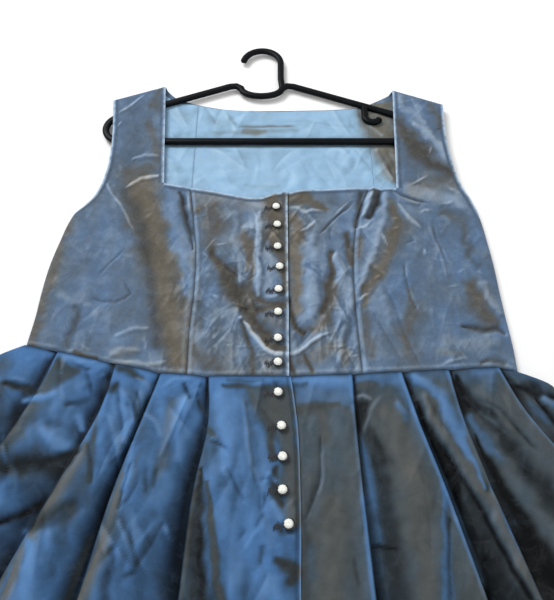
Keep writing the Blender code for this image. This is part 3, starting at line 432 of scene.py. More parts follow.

# Mostly painted shade in brown: the shaded fold by the right strap, the shadows of folds across the neck and
# the hanger bar's shadow along it. The light ones are painted highlights on creases.
LINING_STROKES = (
    (0, 0.5, -0.08, ((214, 134, 2.4), (240, 133, 3), (268, 132, 3.4), (297, 131, 3))),
    (-0.5, 0.7, -0.40, ((236, 128, 1), (262, 127, 1.2), (298, 127, 1))),
    (0, 0.8, -0.10, ((244, 132, 2.5), (254, 132, 3.4), (264, 132, 2.5))),
    (0, 0.8, -0.25, ((170, 106, 1.8), (182, 103, 1.8), (194, 104, 1.2))),
    (0.5, 0.1, 0.3, ((198, 126, 0.8), (201, 117, 0.9), (204, 107, 0.8))),
    (0.9, 0.1, 0.6, ((224, 113, 0.8), (229, 121, 1.3), (235, 131, 1.6), (238, 132, 1.2))),
    (-0.6, 0.3, -0.5, ((226, 113, 0.7), (232, 120, 1.2), (238, 128, 1.2), (239, 131, 0.8))),
    (-0.4, 0.2, -0.2, ((348, 116, 0.9), (351, 127, 1.3), (362, 135, 0.9))),
    (-0.4, 0, -0.14, ((320, 150, 0.9), (330, 163, 1.2), (341, 182, 1.0))),
    (-0.5, 0.2, -0.25, ((352, 148, 0.9), (364, 163, 1.2), (375, 176, 1.2), (386, 188, 0.9))),
    (-0.4, 0, -0.12, ((281, 158, 0.9), (286, 168, 1.0), (294, 182, 0.9))),
    (-0.4, 0, -0.14, ((300, 160, 0.9), (306, 170, 1.0), (312, 180, 0.9))),
    (0.4, 0, 0.12, ((208, 150, 0.9), (230, 156, 1.2), (244, 166, 0.9))),
    (-0.4, 0, -0.12, ((222, 150, 0.9), (238, 154, 1.0))),
    (0.5, 0, 0.12, ((252, 152, 1.2), (258, 166, 1.4), (256, 184, 1.0))),
    (-0.3, 0.1, -0.12, ((282, 123, 0.8), (305, 122, 0.9), (330, 126, 0.9), (350, 128, 0.8))),
    (0, 0.3, -0.05, ((172, 112, 5), (190, 118, 6), (196, 112, 4))),
    (0, 0.35, -0.04, ((208, 120, 4), (222, 126, 5), (230, 122, 4))),
    (0, 0.4, -0.05, ((245, 186, 2), (262, 188, 3), (278, 187, 2))),
    (0, 0.3, -0.04, ((170, 165, 3), (178, 170, 4))),
    (0, 0.85, -0.12, ((368, 104, 12), (374, 125, 14), (381, 148, 13), (390, 172, 8))),
    (0, 1.0, -0.22, ((380, 102, 19), (384, 122, 19), (390, 145, 14), (395, 165, 10), (400, 184, 6))),
    (0.8, 0.9, 0.10, ((377, 150, 2), (385, 166, 2.6), (392, 181, 1.8))),
    (-0.8, 0.9, -0.70, ((376, 147, 1.2), (383, 160, 2.2), (390, 171, 1.8), (396, 180, 1))),
    (-0.6, 0.9, -0.60, ((357, 107, 1.2), (361, 118, 1.6), (368, 128, 1.5), (374, 135, 1.2))),
    (0.4, 0.8, 0.14, ((364, 118, 1.8), (372, 128, 2.4), (382, 136, 1.6))),
    (-0.6, 0.9, -0.45, ((386, 148, 1.2), (390, 158, 1.6), (396, 166, 1.2))),
    (0, 0.7, -0.3, ((165, 146, 1.2), (220, 146, 1.4), (300, 146, 1.6), (370, 146, 1.4), (395, 146, 1.2))),
)

# Their dark strokes are mostly painted shade in the pleats' gaps and beside folds and creases, their light
# ones painted highlights on the folds' rims and on creases.
SKIRT_STROKES = (
    # Beyond the left outer fold.
    (0, 0.5, 0, ((-2, 366, 7), (6, 362, 7))),
    (-2.0, 0.7, -0.72, ((6, 385, 2.5), (18, 387, 5), (30, 389, 5.5), (38, 392, 3))),
    (-1.0, 0.3, -0.85, ((26, 398, 4), (20, 410, 7), (11, 428, 6), (2, 444, 4))),
    (0, 0.3, -0.45, ((0, 396, 6), (3, 428, 7))),
    (0.6, 0, 0.3, ((8, 381, 1), (18, 379, 1.2), (30, 382, 1))),
    # From the left outer fold to the third one.
    (0, 0.75, 0.05, ((55, 362, 9), (40, 387, 14), (14, 428, 14), (2, 446, 9)), -1),
    (0, 0.7, -0.35, ((60, 366, 6), (68, 372, 7), (78, 373, 5), (60, 379, 6))),
    (0.8, -0.6, 0.10, ((84, 384, 5), (66, 394, 7), (52, 410, 8))),
    (-1.0, 0.2, -0.50, ((67, 405, 2.5), (79, 404, 5), (92, 402, 5))),
    (-0.5, 0.2, -0.25, ((50, 423, 4), (60, 424, 4))),
    (0, 0.3, -0.30, ((74, 426, 2), (75, 437, 3), (73, 448, 2))),
    (1.5, -0.9, 0.42, ((46, 434, 6), (58, 442, 11), (66, 446, 8))),
    (0.6, -0.8, 0.30, ((79, 418, 4), (82, 430, 3))),
    (-4.0, 0.65, -0.80, ((-10, 466, 13), (18, 466, 13), (44, 465, 12), (58, 463, 9), (76, 452, 5))),
    (0, 0.15, -0.50, ((22, 488, 12), (44, 482, 12))),
    (0.6, -0.8, 0.10, ((-6, 498, 8), (2, 503, 6))),
    (-3.0, 0.4, -0.97, ((-10, 526, 5), (12, 518, 5), (30, 511, 4.5), (40, 505, 3))),
    (0, 0.2, -0.55, ((-4, 542, 9), (12, 536, 9))),
    (-0.6, 0, -0.75, ((82, 366, 1.2), (88, 375, 1.6), (91, 388, 1.5), (92, 400, 1.2))),
    (0.8, -0.2, 0.45, ((2, 439, 1.2), (5, 448, 1.3), (9, 462, 1.2))),
    (0.8, -0.3, 0.40, ((63, 356, 1.2), (75, 364, 1.4), (92, 362, 1.4), (108, 358, 1.2))),
    (-0.6, 0.1, -0.45, ((96, 378, 1.2), (101, 375, 1.4), (106, 372, 1.2))),
    (0.5, -0.6, 0.20, ((86, 370, 4), (96, 368, 5), (104, 364, 3))),
    (-0.8, 0.2, -0.55, ((70, 360, 1.2), (78, 367, 1.6), (88, 370, 1.6), (96, 368, 1.2))),
    (0.8, -0.7, 0.34, ((60, 352, 1.6), (72, 358, 2.2), (84, 362, 1.6))),
    (-0.8, 0.3, -0.50, ((94, 352, 1.2), (104, 358, 1.6), (112, 356, 1.2))),
    (-0.8, 0.1, -0.40, ((4, 436, 2.1), (7, 452, 2.2), (13, 470, 2.2), (15, 490, 2.1))),
    (1.0, -0.9, 0.30, ((24, 400, 3), (40, 398, 5), (54, 394, 3))),
    # From the third left fold to the second one.
    (0, 0.7, -0.42, ((110, 366, 3), (118, 368, 5), (130, 372, 5.5), (142, 378, 3))),
    (0, 0.6, -0.60, ((106, 389, 4), (112, 388, 5.5), (118, 384, 2.5))),
    (0, 1.0, 0.28, ((84, 446, 5), (70, 470, 7), (52, 496, 8), (34, 524, 9), (18, 556, 10),
        (4, 590, 11)), -1),
    (0, 0.7, 0.0, ((97, 416, 2), (94, 440, 3), (92, 462, 3), (91, 480, 1.5))),
    (-0.5, 0, -0.60, ((90, 454, 1.2), (90, 470, 1.3), (92, 482, 1.2))),
    (1.0, -0.9, 0.30, ((124, 396, 5), (126, 412, 6), (130, 430, 6), (126, 442, 3))),
    (0, 0.1, -0.20, ((128, 404, 3), (136, 407, 4))),
    (-0.6, 0, -0.55, ((118, 386, 1.2), (119, 405, 1.3), (122, 425, 1.3), (124, 440, 1.2))),
    (-0.6, 0, -0.60, ((132, 388, 1.2), (138, 395, 1.4), (141, 408, 1.4), (140, 424, 1.2))),
    (0.6, -0.7, 0.12, ((104, 420, 5), (106, 445, 7), (102, 470, 7))),
    (0, 0.45, -0.22, ((84, 480, 9), (80, 505, 10), (70, 520, 8))),
    (-2.5, 0.35, -0.48, ((34, 526, 6), (52, 520, 9), (74, 508, 8))),
    (1.5, -0.95, 0.26, ((27, 534, 5), (30, 556, 9), (28, 596, 12))),
    (0.8, -0.7, 0.08, ((48, 540, 7), (50, 570, 8))),
    (0, 0.85, -0.62, ((92, 540, 6), (84, 566, 9), (72, 602, 11)), 1),
    (0, -0.2, -0.22, ((54, 556, 3), (52, 575, 3))),
    (-1.0, 0.2, -0.50, ((89, 446, 2.1), (91, 462, 2.4), (92, 482, 2.1))),
    (1.0, -0.8, 0.34, ((122, 392, 1.4), (130, 404, 2.4), (134, 424, 1.4)), -1),
    # From the second left fold to the first one.
    (0, 1.0, 0.26, ((122, 474, 3), (114, 500, 7), (105, 528, 9), (95, 556, 10), (80, 592, 12)), -1),
    (0, 0.55, 0.03, ((172, 402, 5), (169, 424, 8), (166, 448, 8), (160, 480, 5))),
    (0, 0.45, 0, ((140, 452, 3), (136, 470, 3), (131, 486, 2))),
    (-0.9, 0.2, -0.80, ((184, 384, 1.5), (187, 391, 2.6), (190, 399, 1.5))),
    (-0.7, 0.2, -0.60, ((197, 388, 1.2), (203, 385, 1.8))),
    (-0.7, 0.1, -0.60, ((199, 392, 1.2), (198, 398, 1.2))),
    (0, 0.6, -0.55, ((198, 402, 1.5), (202, 409, 3), (205, 414, 1.5))),
    (0.8, -0.6, 0.32, ((146, 415, 1.3), (156, 422, 3), (161, 436, 2))),
    (1.0, -0.9, 0.30, ((185, 402, 6), (190, 415, 8), (184, 438, 8), (178, 458, 5))),
    (0.8, -0.9, 0.22, ((132, 446, 3), (130, 465, 5), (125, 488, 3))),
    (0.6, 0, 0.40, ((160, 388, 1.3), (168, 385, 1.4), (175, 379, 1.3), (196, 378, 1.2))),
    (0.6, -0.3, 0.30, ((138, 378, 2), (148, 386, 3), (150, 394, 2))),
    (-0.6, 0.2, -0.50, ((147, 464, 1.2), (146, 482, 1.4), (147, 498, 1.2))),
    (-0.5, 0.2, -0.30, ((157, 472, 2), (154, 486, 2.4))),
    (-0.6, 0, -0.55, ((141, 470, 1.2), (136, 486, 1.4), (128, 500, 1.4), (121, 507, 1.2))),
    (0.5, 0, 0.34, ((118, 522, 2.4), (127, 541, 2.6), (136, 568, 2.4))),
    (0.7, 0, 0.35, ((163, 522, 1.3), (168, 536, 1.3))),
    (0.7, 0, 0.30, ((158, 520, 1.3), (146, 536, 1.4), (140, 548, 1.3))),
    (0, 0.1, -0.30, ((148, 545, 12), (140, 570, 18), (142, 602, 20))),
    (-0.8, 0.3, -0.55, ((127, 576, 3), (135, 573, 3))),
    (-1.5, 0.3, -0.60, ((114, 546, 2), (110, 568, 5), (104, 602, 8))),
    (0, 0, -0.30, ((152, 570, 2), (156, 600, 3))),
    (0.8, -0.8, 0.16, ((168, 480, 7), (160, 505, 8))),
    (-0.6, 0.2, -0.36, ((122, 518, 3.0), (132, 540, 4.0), (141, 564, 3.0))),
    (-1.0, 0.2, -0.45, ((163, 524, 2.1), (151, 544, 2.6), (138, 566, 2.1))),
    (-1.0, 0.1, -0.55, ((120, 508, 1.6), (124, 490, 2.2), (131, 466, 1.6)), -1),
    # The first left fold's turned side, and the left centre panel.
    (-2.5, 0.7, -0.66, ((202, 470, 1.5), (200, 494, 5), (197, 520, 9), (197, 560, 13), (200, 605, 18))),
    (0, 0.5, -0.88, ((200, 520, 2), (200, 560, 4), (202, 602, 5))),
    (0, 1.0, -0.28, ((206, 482, 1.5), (210, 512, 3), (213, 545, 4), (217, 580, 4.5), (221, 604, 5))),
    (1.0, -0.9, 0.30, ((222, 398, 8), (226, 415, 11), (230, 445, 10), (226, 470, 8))),
    (0.6, -0.8, 0.14, ((236, 404, 6), (240, 440, 6), (243, 470, 6))),
    (0, 0.7, -0.36, ((224, 386, 2.5), (244, 388, 5), (264, 390, 7), (282, 390, 7))),
    (0, 0.5, -0.15, ((228, 380, 2), (246, 381, 2.5), (262, 380, 2))),
    (0, 0.75, -0.15, ((252, 396, 6), (262, 406, 8), (268, 416, 7))),
    (0.9, -0.4, 0.40, ((242, 397, 1.3), (246, 418, 1.5), (249, 450, 1.5), (252, 482, 1.3))),
    (-0.9, 0, -0.85, ((209, 440, 1.2), (219, 444, 1.5), (230, 451, 1.2))),
    (0.7, 0, 0.45, ((210, 437, 1.2), (219, 440, 1.2))),
    (0, 0.7, -0.10, ((207, 428, 2.5), (213, 434, 3))),
    (0.6, 0, 0.55, ((222, 465, 1.2), (226, 474, 1.3), (231, 480, 1.2))),
    (-0.6, 0, -0.60, ((228, 471, 1.2), (234, 480, 1.4), (238, 492, 1.3), (244, 499, 1.3), (251, 499, 1.2))),
    (0, -0.7, 0.14, ((257, 430, 5), (262, 450, 6), (262, 470, 5))),
    (0, 1.0, -0.10, ((270, 400, 8), (276, 414, 9), (272, 430, 6))),
    (0, 0.9, -0.42, ((272, 434, 3), (270, 444, 3), (274, 458, 3))),
    (0, 0.9, -0.08, ((285, 398, 11), (287, 430, 11), (290, 460, 9), (293, 500, 9), (295, 524, 7))),
    (-0.8, 0.8, -0.62, ((276, 470, 3), (276, 486, 5), (278, 497, 6), (282, 505, 4))),
    (-0.8, 0.5, -0.70, ((279, 528, 3), (284, 534, 4), (291, 533, 3))),
    (0.8, -0.7, 0.22, ((266, 482, 2), (270, 474, 3), (277, 482, 2))),
    (0.8, -0.8, 0.22, ((272, 505, 3), (277, 513, 4.5), (281, 519, 3))),
    (0.8, -0.8, 0.20, ((263, 520, 4), (268, 530, 6), (272, 548, 6))),
    (-0.6, 0.1, -0.60, ((265, 490, 1.2), (265, 502, 1.8), (260, 513, 1.3))),
    (0, 0.2, -0.35, ((262, 516, 2.5), (256, 526, 2))),
    (-0.6, 0, -0.60, ((247, 529, 1.2), (243, 536, 1.8), (238, 544, 1.2))),
    (0.5, 0, 0.40, ((262, 528, 1.2), (254, 535, 1.3), (244, 552, 1.2))),
    (0, 0.4, -0.35, ((262, 548, 3), (260, 562, 3))),
    (0, 0.85, -0.58, ((278, 562, 4), (287, 566, 8), (296, 572, 7), (290, 580, 6))),
    (0, 0, -0.20, ((285, 540, 7), (292, 552, 6))),
    (0.8, -0.8, 0.14, ((262, 580, 8), (276, 595, 9))),
    (1.0, -0.5, 0.06, ((226, 500, 8), (233, 540, 10), (238, 595, 10))),
    (-0.5, 0, -0.50, ((258, 481, 1.2), (268, 478, 1.4), (276, 478, 1.2))),
    (0.4, 0, 0.30, ((286, 508, 1.2), (298, 496, 1.3))),
    # The right centre panel.
    (0.6, -0.9, 0.26, ((298, 380, 8), (322, 381, 10), (350, 383, 10))),
    (0, -0.6, 0.14, ((304, 396, 9), (328, 398, 11), (348, 400, 10))),
    (0, 0.5, -0.16, ((293, 385, 2.5), (306, 385, 3))),
    (0, 0.95, -0.20, ((300, 410, 4), (318, 408, 5), (336, 406, 3))),
    (0, 1.0, -0.06, ((322, 414, 5), (325, 440, 6))),
    (0, -0.1, 0.08, ((336, 416, 7), (342, 440, 8))),
    (0, -0.1, 0.04, ((308, 436, 6), (310, 462, 7), (306, 476, 5))),
    (0, 1.0, 0.04, ((332, 500, 10), (334, 545, 12), (330, 602, 14))),
    (0, 0.0, 0.04, ((350, 476, 6), (352, 498, 6))),
    (0, -0.6, 0.10, ((366, 500, 7), (371, 535, 9), (376, 570, 12), (384, 604, 14)), 1),
    (-0.9, 0.5, -0.55, ((321, 438, 1.5), (322, 470, 3), (321, 484, 6), (315, 500, 8), (306, 520, 3)), 1),
    (0.6, 0, 0.22, ((323, 448, 1.3), (324, 478, 1.3), (318, 500, 1.3))),
    (-0.4, 0.3, -0.30, ((303, 520, 3), (308, 545, 5), (306, 575, 6), (306, 604, 6))),
    (0, -0.4, -0.10, ((310, 548, 5), (312, 575, 5))),
    (-0.6, 0, -0.50, ((353, 556, 1.2), (356, 572, 1.4), (360, 590, 1.2))),
    # From the first right fold to the second one.
    (0, -0.6, 0.10, ((358, 378, 7), (380, 378, 8), (398, 377, 7))),
    (0, 0.8, -0.15, ((360, 386, 4), (374, 386, 4))),
    (0.6, -0.2, 0.60, ((356, 397, 1.3), (363, 395, 2.2), (370, 399, 1.3))),
    (-1.8, 0.6, -0.80, ((354, 402, 3), (361, 406, 5), (368, 405, 4), (362, 416, 4))),
    (-0.8, 0.6, -0.62, ((366, 414, 2), (366, 428, 5), (374, 442, 8), (384, 460, 8))),
    (0.7, 0.4, 0.30, ((383, 394, 1.2), (373, 408, 1.4), (368, 420, 1.3), (362, 436, 1.2))),
    (0.6, -0.75, 0.08, ((358, 438, 5), (366, 474, 12), (372, 504, 12), (378, 540, 9)), -1),
    (0.5, -0.6, -0.10, ((373, 540, 5), (379, 570, 8), (385, 604, 10)), -1),
    (-3.0, 0.35, -0.62, ((374, 456, 3), (384, 482, 9), (387, 520, 11), (393, 560, 11), (399, 604, 14))),
    (-1.0, 0, -0.92, ((374, 544, 1.3), (383, 547, 2), (396, 549, 1.3))),
    (0, -0.6, 0.14, ((402, 378, 8), (413, 402, 10), (428, 436, 10), (440, 465, 9), (452, 494, 9),
        (466, 530, 7), (484, 580, 6)), 1),
    (0.8, -0.6, 0.10, ((398, 404, 3), (406, 420, 5))),
    (0, 1.0, 0.04, ((384, 408, 6), (398, 430, 9), (408, 460, 10), (418, 500, 12), (424, 550, 12),
        (428, 602, 12))),
    (0, 0.1, 0.0, ((427, 462, 4), (437, 478, 5))),
    (0.8, -0.65, -0.10, ((444, 484, 3), (446, 530, 5), (446, 560, 5.5), (448, 604, 6))),
    (-1.0, 0.2, -0.45, ((450, 520, 1.5), (449, 560, 2), (451, 604, 2))),
    # Beyond the second right fold: the gap, its dark face and the lit fold inside it.
    (0, 0.3, -0.93, ((416, 404, 2.5), (425, 424, 4.5), (434, 444, 6), (446, 462, 7), (457, 482, 9),
        (466, 500, 10))),
    (0, 0.3, -0.76, ((468, 502, 9), (480, 534, 12), (494, 566, 15), (512, 604, 18))),
    (3.0, 0.95, 0.06, ((424, 400, 3.5), (434, 420, 5), (446, 440, 5.5), (460, 460, 5.5),
        (478, 484, 6), (493, 506, 7), (506, 532, 7.5), (520, 562, 8), (538, 602, 9))),
    (-2.0, 0.3, -0.97, ((440, 446, 1.3), (452, 462, 2), (471, 490, 2.6), (487, 520, 3), (503, 550, 3),
        (520, 580, 3.5), (532, 602, 4))),
    (0, 1.0, 0.02, ((430, 404, 4), (436, 416, 4))),
    (1.5, -0.80, 0.22, ((414, 376, 4), (430, 386, 6), (444, 402, 8), (452, 420, 8), (460, 438, 7),
        (470, 457, 6), (480, 475, 4.5), (486, 487, 2.5))),
    (0.8, -0.3, 0.40, ((414, 374, 1.3), (424, 383, 1.6), (436, 393, 1.6), (446, 397, 1.2))),
    (0, -0.3, 0.04, ((430, 376, 6), (450, 378, 6))),
    (0.8, 0.9, 0.10, ((466, 428, 3), (473, 446, 4), (481, 464, 4), (487, 482, 3))),
    (1.0, -0.7, 0.05, ((500, 503, 4), (511, 524, 6), (520, 548, 5))),
    # Beyond the third right fold.
    (-1.5, 0.3, -0.94, ((457, 377, 3), (462, 388, 6), (467, 400, 7.5), (478, 409, 6), (492, 418, 5))),
    (0, 0.45, -0.70, ((484, 414, 6), (500, 432, 8), (516, 456, 10), (536, 480, 13), (558, 508, 15))),
    (2.5, -0.6, 0.04, ((468, 416, 4), (479, 432, 7), (490, 447, 7), (500, 458, 6))),
    (2.5, 0.35, 0.04, ((498, 458, 6), (510, 476, 7), (526, 500, 8), (542, 522, 9), (560, 548, 10))),
    (-3.0, 0.3, -0.98, ((474, 434, 2), (482, 450, 3), (490, 466, 5), (502, 490, 8), (518, 516, 9),
        (536, 546, 10), (556, 580, 12))),
    (0, 0.7, 0.03, ((478, 388, 6), (490, 396, 7), (508, 404, 11), (524, 424, 12), (544, 446, 11))),
    (0, -0.4, 0.08, ((474, 372, 5), (488, 374, 7), (492, 388, 6))),
    (-0.9, 0.3, -0.75, ((480, 401, 1.3), (488, 403, 1.6), (502, 411, 1.7), (516, 427, 1.7),
        (530, 443, 1.5), (540, 451, 1.2))),
    (-0.6, 0.4, -0.50, ((476, 409, 1.3), (492, 421, 1.5), (512, 436, 1.3))),
    # Beyond the fourth right fold.
    (-2.0, 0.4, -0.85, ((515, 384, 2), (526, 388, 6), (540, 392, 7), (554, 398, 5))),
    (1.0, -0.5, -0.12, ((530, 402, 4), (538, 412, 6), (548, 422, 5))),
    (-2.0, 0.4, -0.90, ((538, 399, 2), (546, 410, 4), (556, 424, 5))),
    (0.8, -0.6, 0.14, ((546, 398, 4), (556, 406, 4))),
)


# The strokes fade out where the cloth leaves the picture, between these pixels.
FADE_PAST_LEFT = (0, 40)
FADE_PAST_RIGHT = (PICTURE_WIDTH, PICTURE_WIDTH + 40)
FADE_PAST_BOTTOM = (PICTURE_HEIGHT - 2, PICTURE_HEIGHT + 70)
# A stroke that ends below this row of pixels is carried on by so many rows.
CARRIED_ON_FROM, CARRIED_ON_BY = PICTURE_HEIGHT - 10, 70
# Half widths in pixels: thin strokes are under the first, broad ones over the second.
THIN_STROKE, BROAD_STROKE = 2, 2.4
# How softly a stroke of one side is cut off along its line, in pixels, and the cut's level.
CUT_SOFTNESS, CUT_LEVEL = 2, 0.6
FAINTEST = 50
# The most that a broad stroke's edge is feathered, in pixels.
MOST_FEATHER = 1.8
# A thin stroke's ends fade over this share of its length, and over these pixels at most.
END_SHARE, END_MOST = 0.35, 9


def capsule(px, py, points, power, side=0, least=0.3):
    """How strongly a tapering line covers each pixel: 1 on the line, fading to 0.

    A side of 1 keeps only what lies left of a line that runs down the picture, -1 right.
    """
    cover = np.zeros_like(px)
    for (ax, ay, aw), (bx, by, bw) in zip(points, points[1:]):
        dx, dy = bx - ax, by - ay
        share = np.clip(((px - ax) * dx + (py - ay) * dy) / (dx * dx + dy * dy), 0, 1)
        away = np.hypot(px - ax - share * dx, py - ay - share * dy)
        half = np.maximum(aw + (bw - aw) * share, least)
        here = np.exp(-np.minimum((away / half) ** power, FAINTEST))
        if side:
            beside = ((py - ay) * dx - (px - ax) * dy) * side / math.hypot(dx, dy)
            here = here * np.clip(beside / CUT_SOFTNESS + CUT_LEVEL, 0, 1)
        cover = np.maximum(cover, here)
    return cover


# Large odd numbers that scatter the noise's directions, and how many of them there are.
SCATTER_X, SCATTER_Y, SCATTER_SEED, SCATTER_AGAIN = 73856093, 19349663, 83492791, 2654435761
DIRECTIONS = 4096
# How far each seed moves the noise's grid, in cells.
SEED_STEP_X, SEED_STEP_Y = 17.37, 9.71


def waves(points, size, seed, length=None, angle=0.0):
    """Smooth noise of about -1 to 1. length and angle draw it out along a direction."""
    c, s = math.cos(math.radians(angle)), math.sin(math.radians(angle))
    x = (points[..., 0] * c + points[..., 1] * s) / (length or size) + seed * SEED_STEP_X
    y = (points[..., 1] * c - points[..., 0] * s) / size - seed * SEED_STEP_Y
    whole_x, whole_y = np.floor(x).astype(np.int64), np.floor(y).astype(np.int64)
    part_x, part_y = x - whole_x, y - whole_y

    def corner(dx, dy):
        mixed = ((whole_x + dx) * SCATTER_X) ^ ((whole_y + dy) * SCATTER_Y) ^ (seed * SCATTER_SEED)
        mixed = (mixed ^ (mixed >> 11)) * SCATTER_AGAIN & 0x7FFFFFFF
        turn = ((mixed ^ (mixed >> 15)) % DIRECTIONS) * (2 * math.pi / DIRECTIONS)
        return np.cos(turn) * (part_x - dx) + np.sin(turn) * (part_y - dy)

    u, v = (t * t * t * (t * (t * 6 - 15) + 10) for t in (part_x, part_y))
    low = corner(0, 0) + (corner(1, 0) - corner(0, 0)) * u
    high = corner(0, 1) + (corner(1, 1) - corner(0, 1)) * u
    return (low + (high - low) * v) * 1.5


def cloudy(points, size, seed, octaves=4, length=None, angle=0.0):
    """Several sizes of noise together, each half as large and about half as strong."""
    total = 0.0
    for k in range(octaves):
        share = 0.5**k
        total = total + share * waves(points, size * share, seed + 31 * k, length and length * share, angle)
    return total


def creased(points, size, seed, length=None, angle=0.0):
    """Noise with sharp crests, 0 to about 1, like the creases of crushed cloth."""
    return np.clip(1 - np.abs(waves(points, size, seed, length, angle)) * 2.0, 0, 1) ** 2


def crushed_parts(points, size, seed, base, least, most):
    """How crushed the cloth is from place to place: base on the whole, and least to most."""
    return np.clip(base + 0.9 * cloudy(points, size, seed, 2), least, most)


def band(distance, middle, half_width):
    """1 at a distance from a seam, an edge or a fold, fading to 0 on both sides of it."""
    return np.exp(-(((distance - middle) / half_width) ** 2))


def facets(points, size, seed, length, angle):
    """Flat-sided ups and downs with sharp creases between them."""
    first = np.abs(waves(points, size, seed, length, angle))
    return first + 0.8 * np.abs(waves(points, size * 0.8, seed + 1, length * 0.7, angle + 38))


# The direction, in x and y, that the painted light on the slopes comes from.
LIGHT_FROM = (-0.55, 0.83)
STEEPEST = 0.6
LEAST_AREA = 1e-7


class Look:
    """Height, tone and light of every point of a shell, gathered from strokes and noise.

    lit is the painted light and shade, with the crushed lines: it runs from -1, black painted shade, to 1, a
    bright crushed line or a painted highlight.
    """

    def __init__(self, points, tone):
        self.points = points
        self.height = np.zeros(points.shape[:2])
        self.tone = np.zeros(points.shape[:2]) + tone
        self.lit = np.zeros(points.shape[:2])

    def paint(self, level, cover):
        """Brings the painted light to a level where the cover is 1, and part of the way elsewhere."""
        cover = np.clip(cover, 0, 1)
        self.lit = self.lit * (1 - cover) + level * cover

    def strokes(self, table, sway, least, power, gain=1.0):
        """Lays the listed strokes. sway feathers their edges, in pixels."""
        px, py = in_picture(self.points)
        feather_x = cloudy(self.points, 0.020, 1, 2)
        feather_y = cloudy(self.points, 0.020, 2, 2)
        # A noise that makes the strokes' painted light and shade uneven.
        unevenness = 0.78 + 0.45 * waves(self.points, 0.009, 5)
        framed = 1 - ease(*FADE_PAST_BOTTOM, py)
        framed = framed * (1 - ease(*FADE_PAST_LEFT, -px)) * (1 - ease(*FADE_PAST_RIGHT, px))
        for height, tone, light, points, *side in table:
            side = side[0] if side else 0
            (ax, ay, _), (bx, by, last) = points[-2:]
            if by > CARRIED_ON_FROM:
                slant = (bx - ax) / (by - ay)
                points = (*points, (bx + slant * CARRIED_ON_BY, by + CARRIED_ON_BY, last))
            half = points[len(points) // 2][2]
            thin = half < THIN_STROKE
            feather = 0 if side else min(half / 4, MOST_FEATHER) * sway
            x, y = px + feather * feather_x, py + feather * feather_y
            narrow = capsule(x, y, points, 2, side, least) * framed
            if thin:
                ends = [np.hypot(px - end[0], py - end[1]) for end in (points[0], points[-1])]
                length = math.hypot(points[-1][0] - points[0][0], points[-1][1] - points[0][1])
                fade = ease(0, min(END_SHARE * length, END_MOST), np.minimum(*ends))
                narrow = narrow * (0.15 + 0.85 * fade)
            self.height += height * (1 if thin else gain) * 0.001 * narrow
            broad = narrow
            if half > BROAD_STROKE and not side:
                broad = capsule(x, y, points, power, 0, least) * framed
            if tone:
                self.tone += (tone * 0.5 + 0.5 - self.tone) * broad * min(abs(tone) * 1.1, 1)
            if light:
                level = light * (np.clip(unevenness, 0.4, 1.1) if thin else gain * (0.85 + 0.3 * unevenness))
                self.paint(np.clip(level, -1, 1), broad)

    def creases(self, seed, count, length, width, strength, angle, spread, share=1.0):
        """Straight sharp creases at seeded places, painted only: a painted highlight on one side, painted
        shade on the other.

        Lengths and widths are in metres, angles and their spread in degrees from +X.
        """
        random = np.random.default_rng(seed)
        x, y = self.points[..., 0], self.points[..., 1]
        for _ in range(count):
            middle = np.array((random.uniform(x.min(), x.max()), random.uniform(y.min(), y.max())))
            turn = math.radians(angle + random.normal(0, spread))
            reach = length * random.uniform(0.3, 1.0) / 2 * np.array((math.cos(turn), math.sin(turn)))
            bend = random.normal(0, 0.12) * np.array((-reach[1], reach[0]))
            half = width * random.uniform(0.5, 1.3)
            tapers = ((-reach, 0.4), (bend, 1), (reach, 0.4))
            line = [(*(middle + step), half * taper) for step, taper in tapers]
            level = strength * random.uniform(0.3, 1.0) * random.choice((-1, 1))
            near = (np.abs(x - middle[0]) < length) & (np.abs(y - middle[1]) < length)
            if near.any():
                # Capsules are cut softly over a few units of length, so here in millimetres.
                line = [[value * 1000 for value in point] for point in line]
                for side in (1, -1):
                    cover = capsule(x[near] * 1000, y[near] * 1000, line, 1.3, side, 1.3)
                    self.lit[near] += level * side * cover * np.broadcast_to(share, x.shape)[near]

    def slope_light(self, strength, tone_strength=0.0, share=1.0):
        """Paints light on the slopes that face the light and shade on the others, and, as painted sheen,
        turns their tone by their slope along x.
        """
        rows = [np.gradient(self.points[..., k], axis=0) for k in (0, 1)]
        cols = [np.gradient(self.points[..., k], axis=1) for k in (0, 1)]
        along_rows, along_cols = np.gradient(self.height)
        size = cols[0] * rows[1] - cols[1] * rows[0]
        size = np.where(np.abs(size) < LEAST_AREA, LEAST_AREA, size)
        by_x = (along_cols * rows[1] - along_rows * cols[1]) / size
        by_y = (along_rows * cols[0] - along_cols * rows[0]) / size
        slope = np.clip(-(by_x * LIGHT_FROM[0] + by_y * LIGHT_FROM[1]), -STEEPEST, STEEPEST) * share
        self.lit += np.clip(slope * strength, -1, 1) * (1 - np.abs(np.clip(self.lit, -1, 1)))
        self.tone -= tone_strength * np.clip(by_x, -STEEPEST, STEEPEST) * share


# ------------------------------------------------------------------ curves


def smooth(stations, values, at):
    """A smooth curve through the stations, by cubic pieces with averaged slopes."""
    stations = np.asarray(stations, float)
    values = np.asarray(values, float)
    slopes = np.gradient(values, stations)
    at = np.clip(at, stations[0], stations[-1])
    i = np.clip(np.searchsorted(stations, at, side="right") - 1, 0, len(stations) - 2)
    step = stations[i + 1] - stations[i]
    t = (at - stations[i]) / step
    ends = values[i] * (1 + 2 * t) * (1 - t) ** 2 + values[i + 1] * t * t * (3 - 2 * t)
    return ends + step * (slopes[i] * t * (1 - t) ** 2 - slopes[i + 1] * t * t * (1 - t))


def column(table, key, value, at):
    """Reads a table: the smooth curve of one column against another."""
    return smooth([row[key] for row in table], [row[value] for row in table], at)


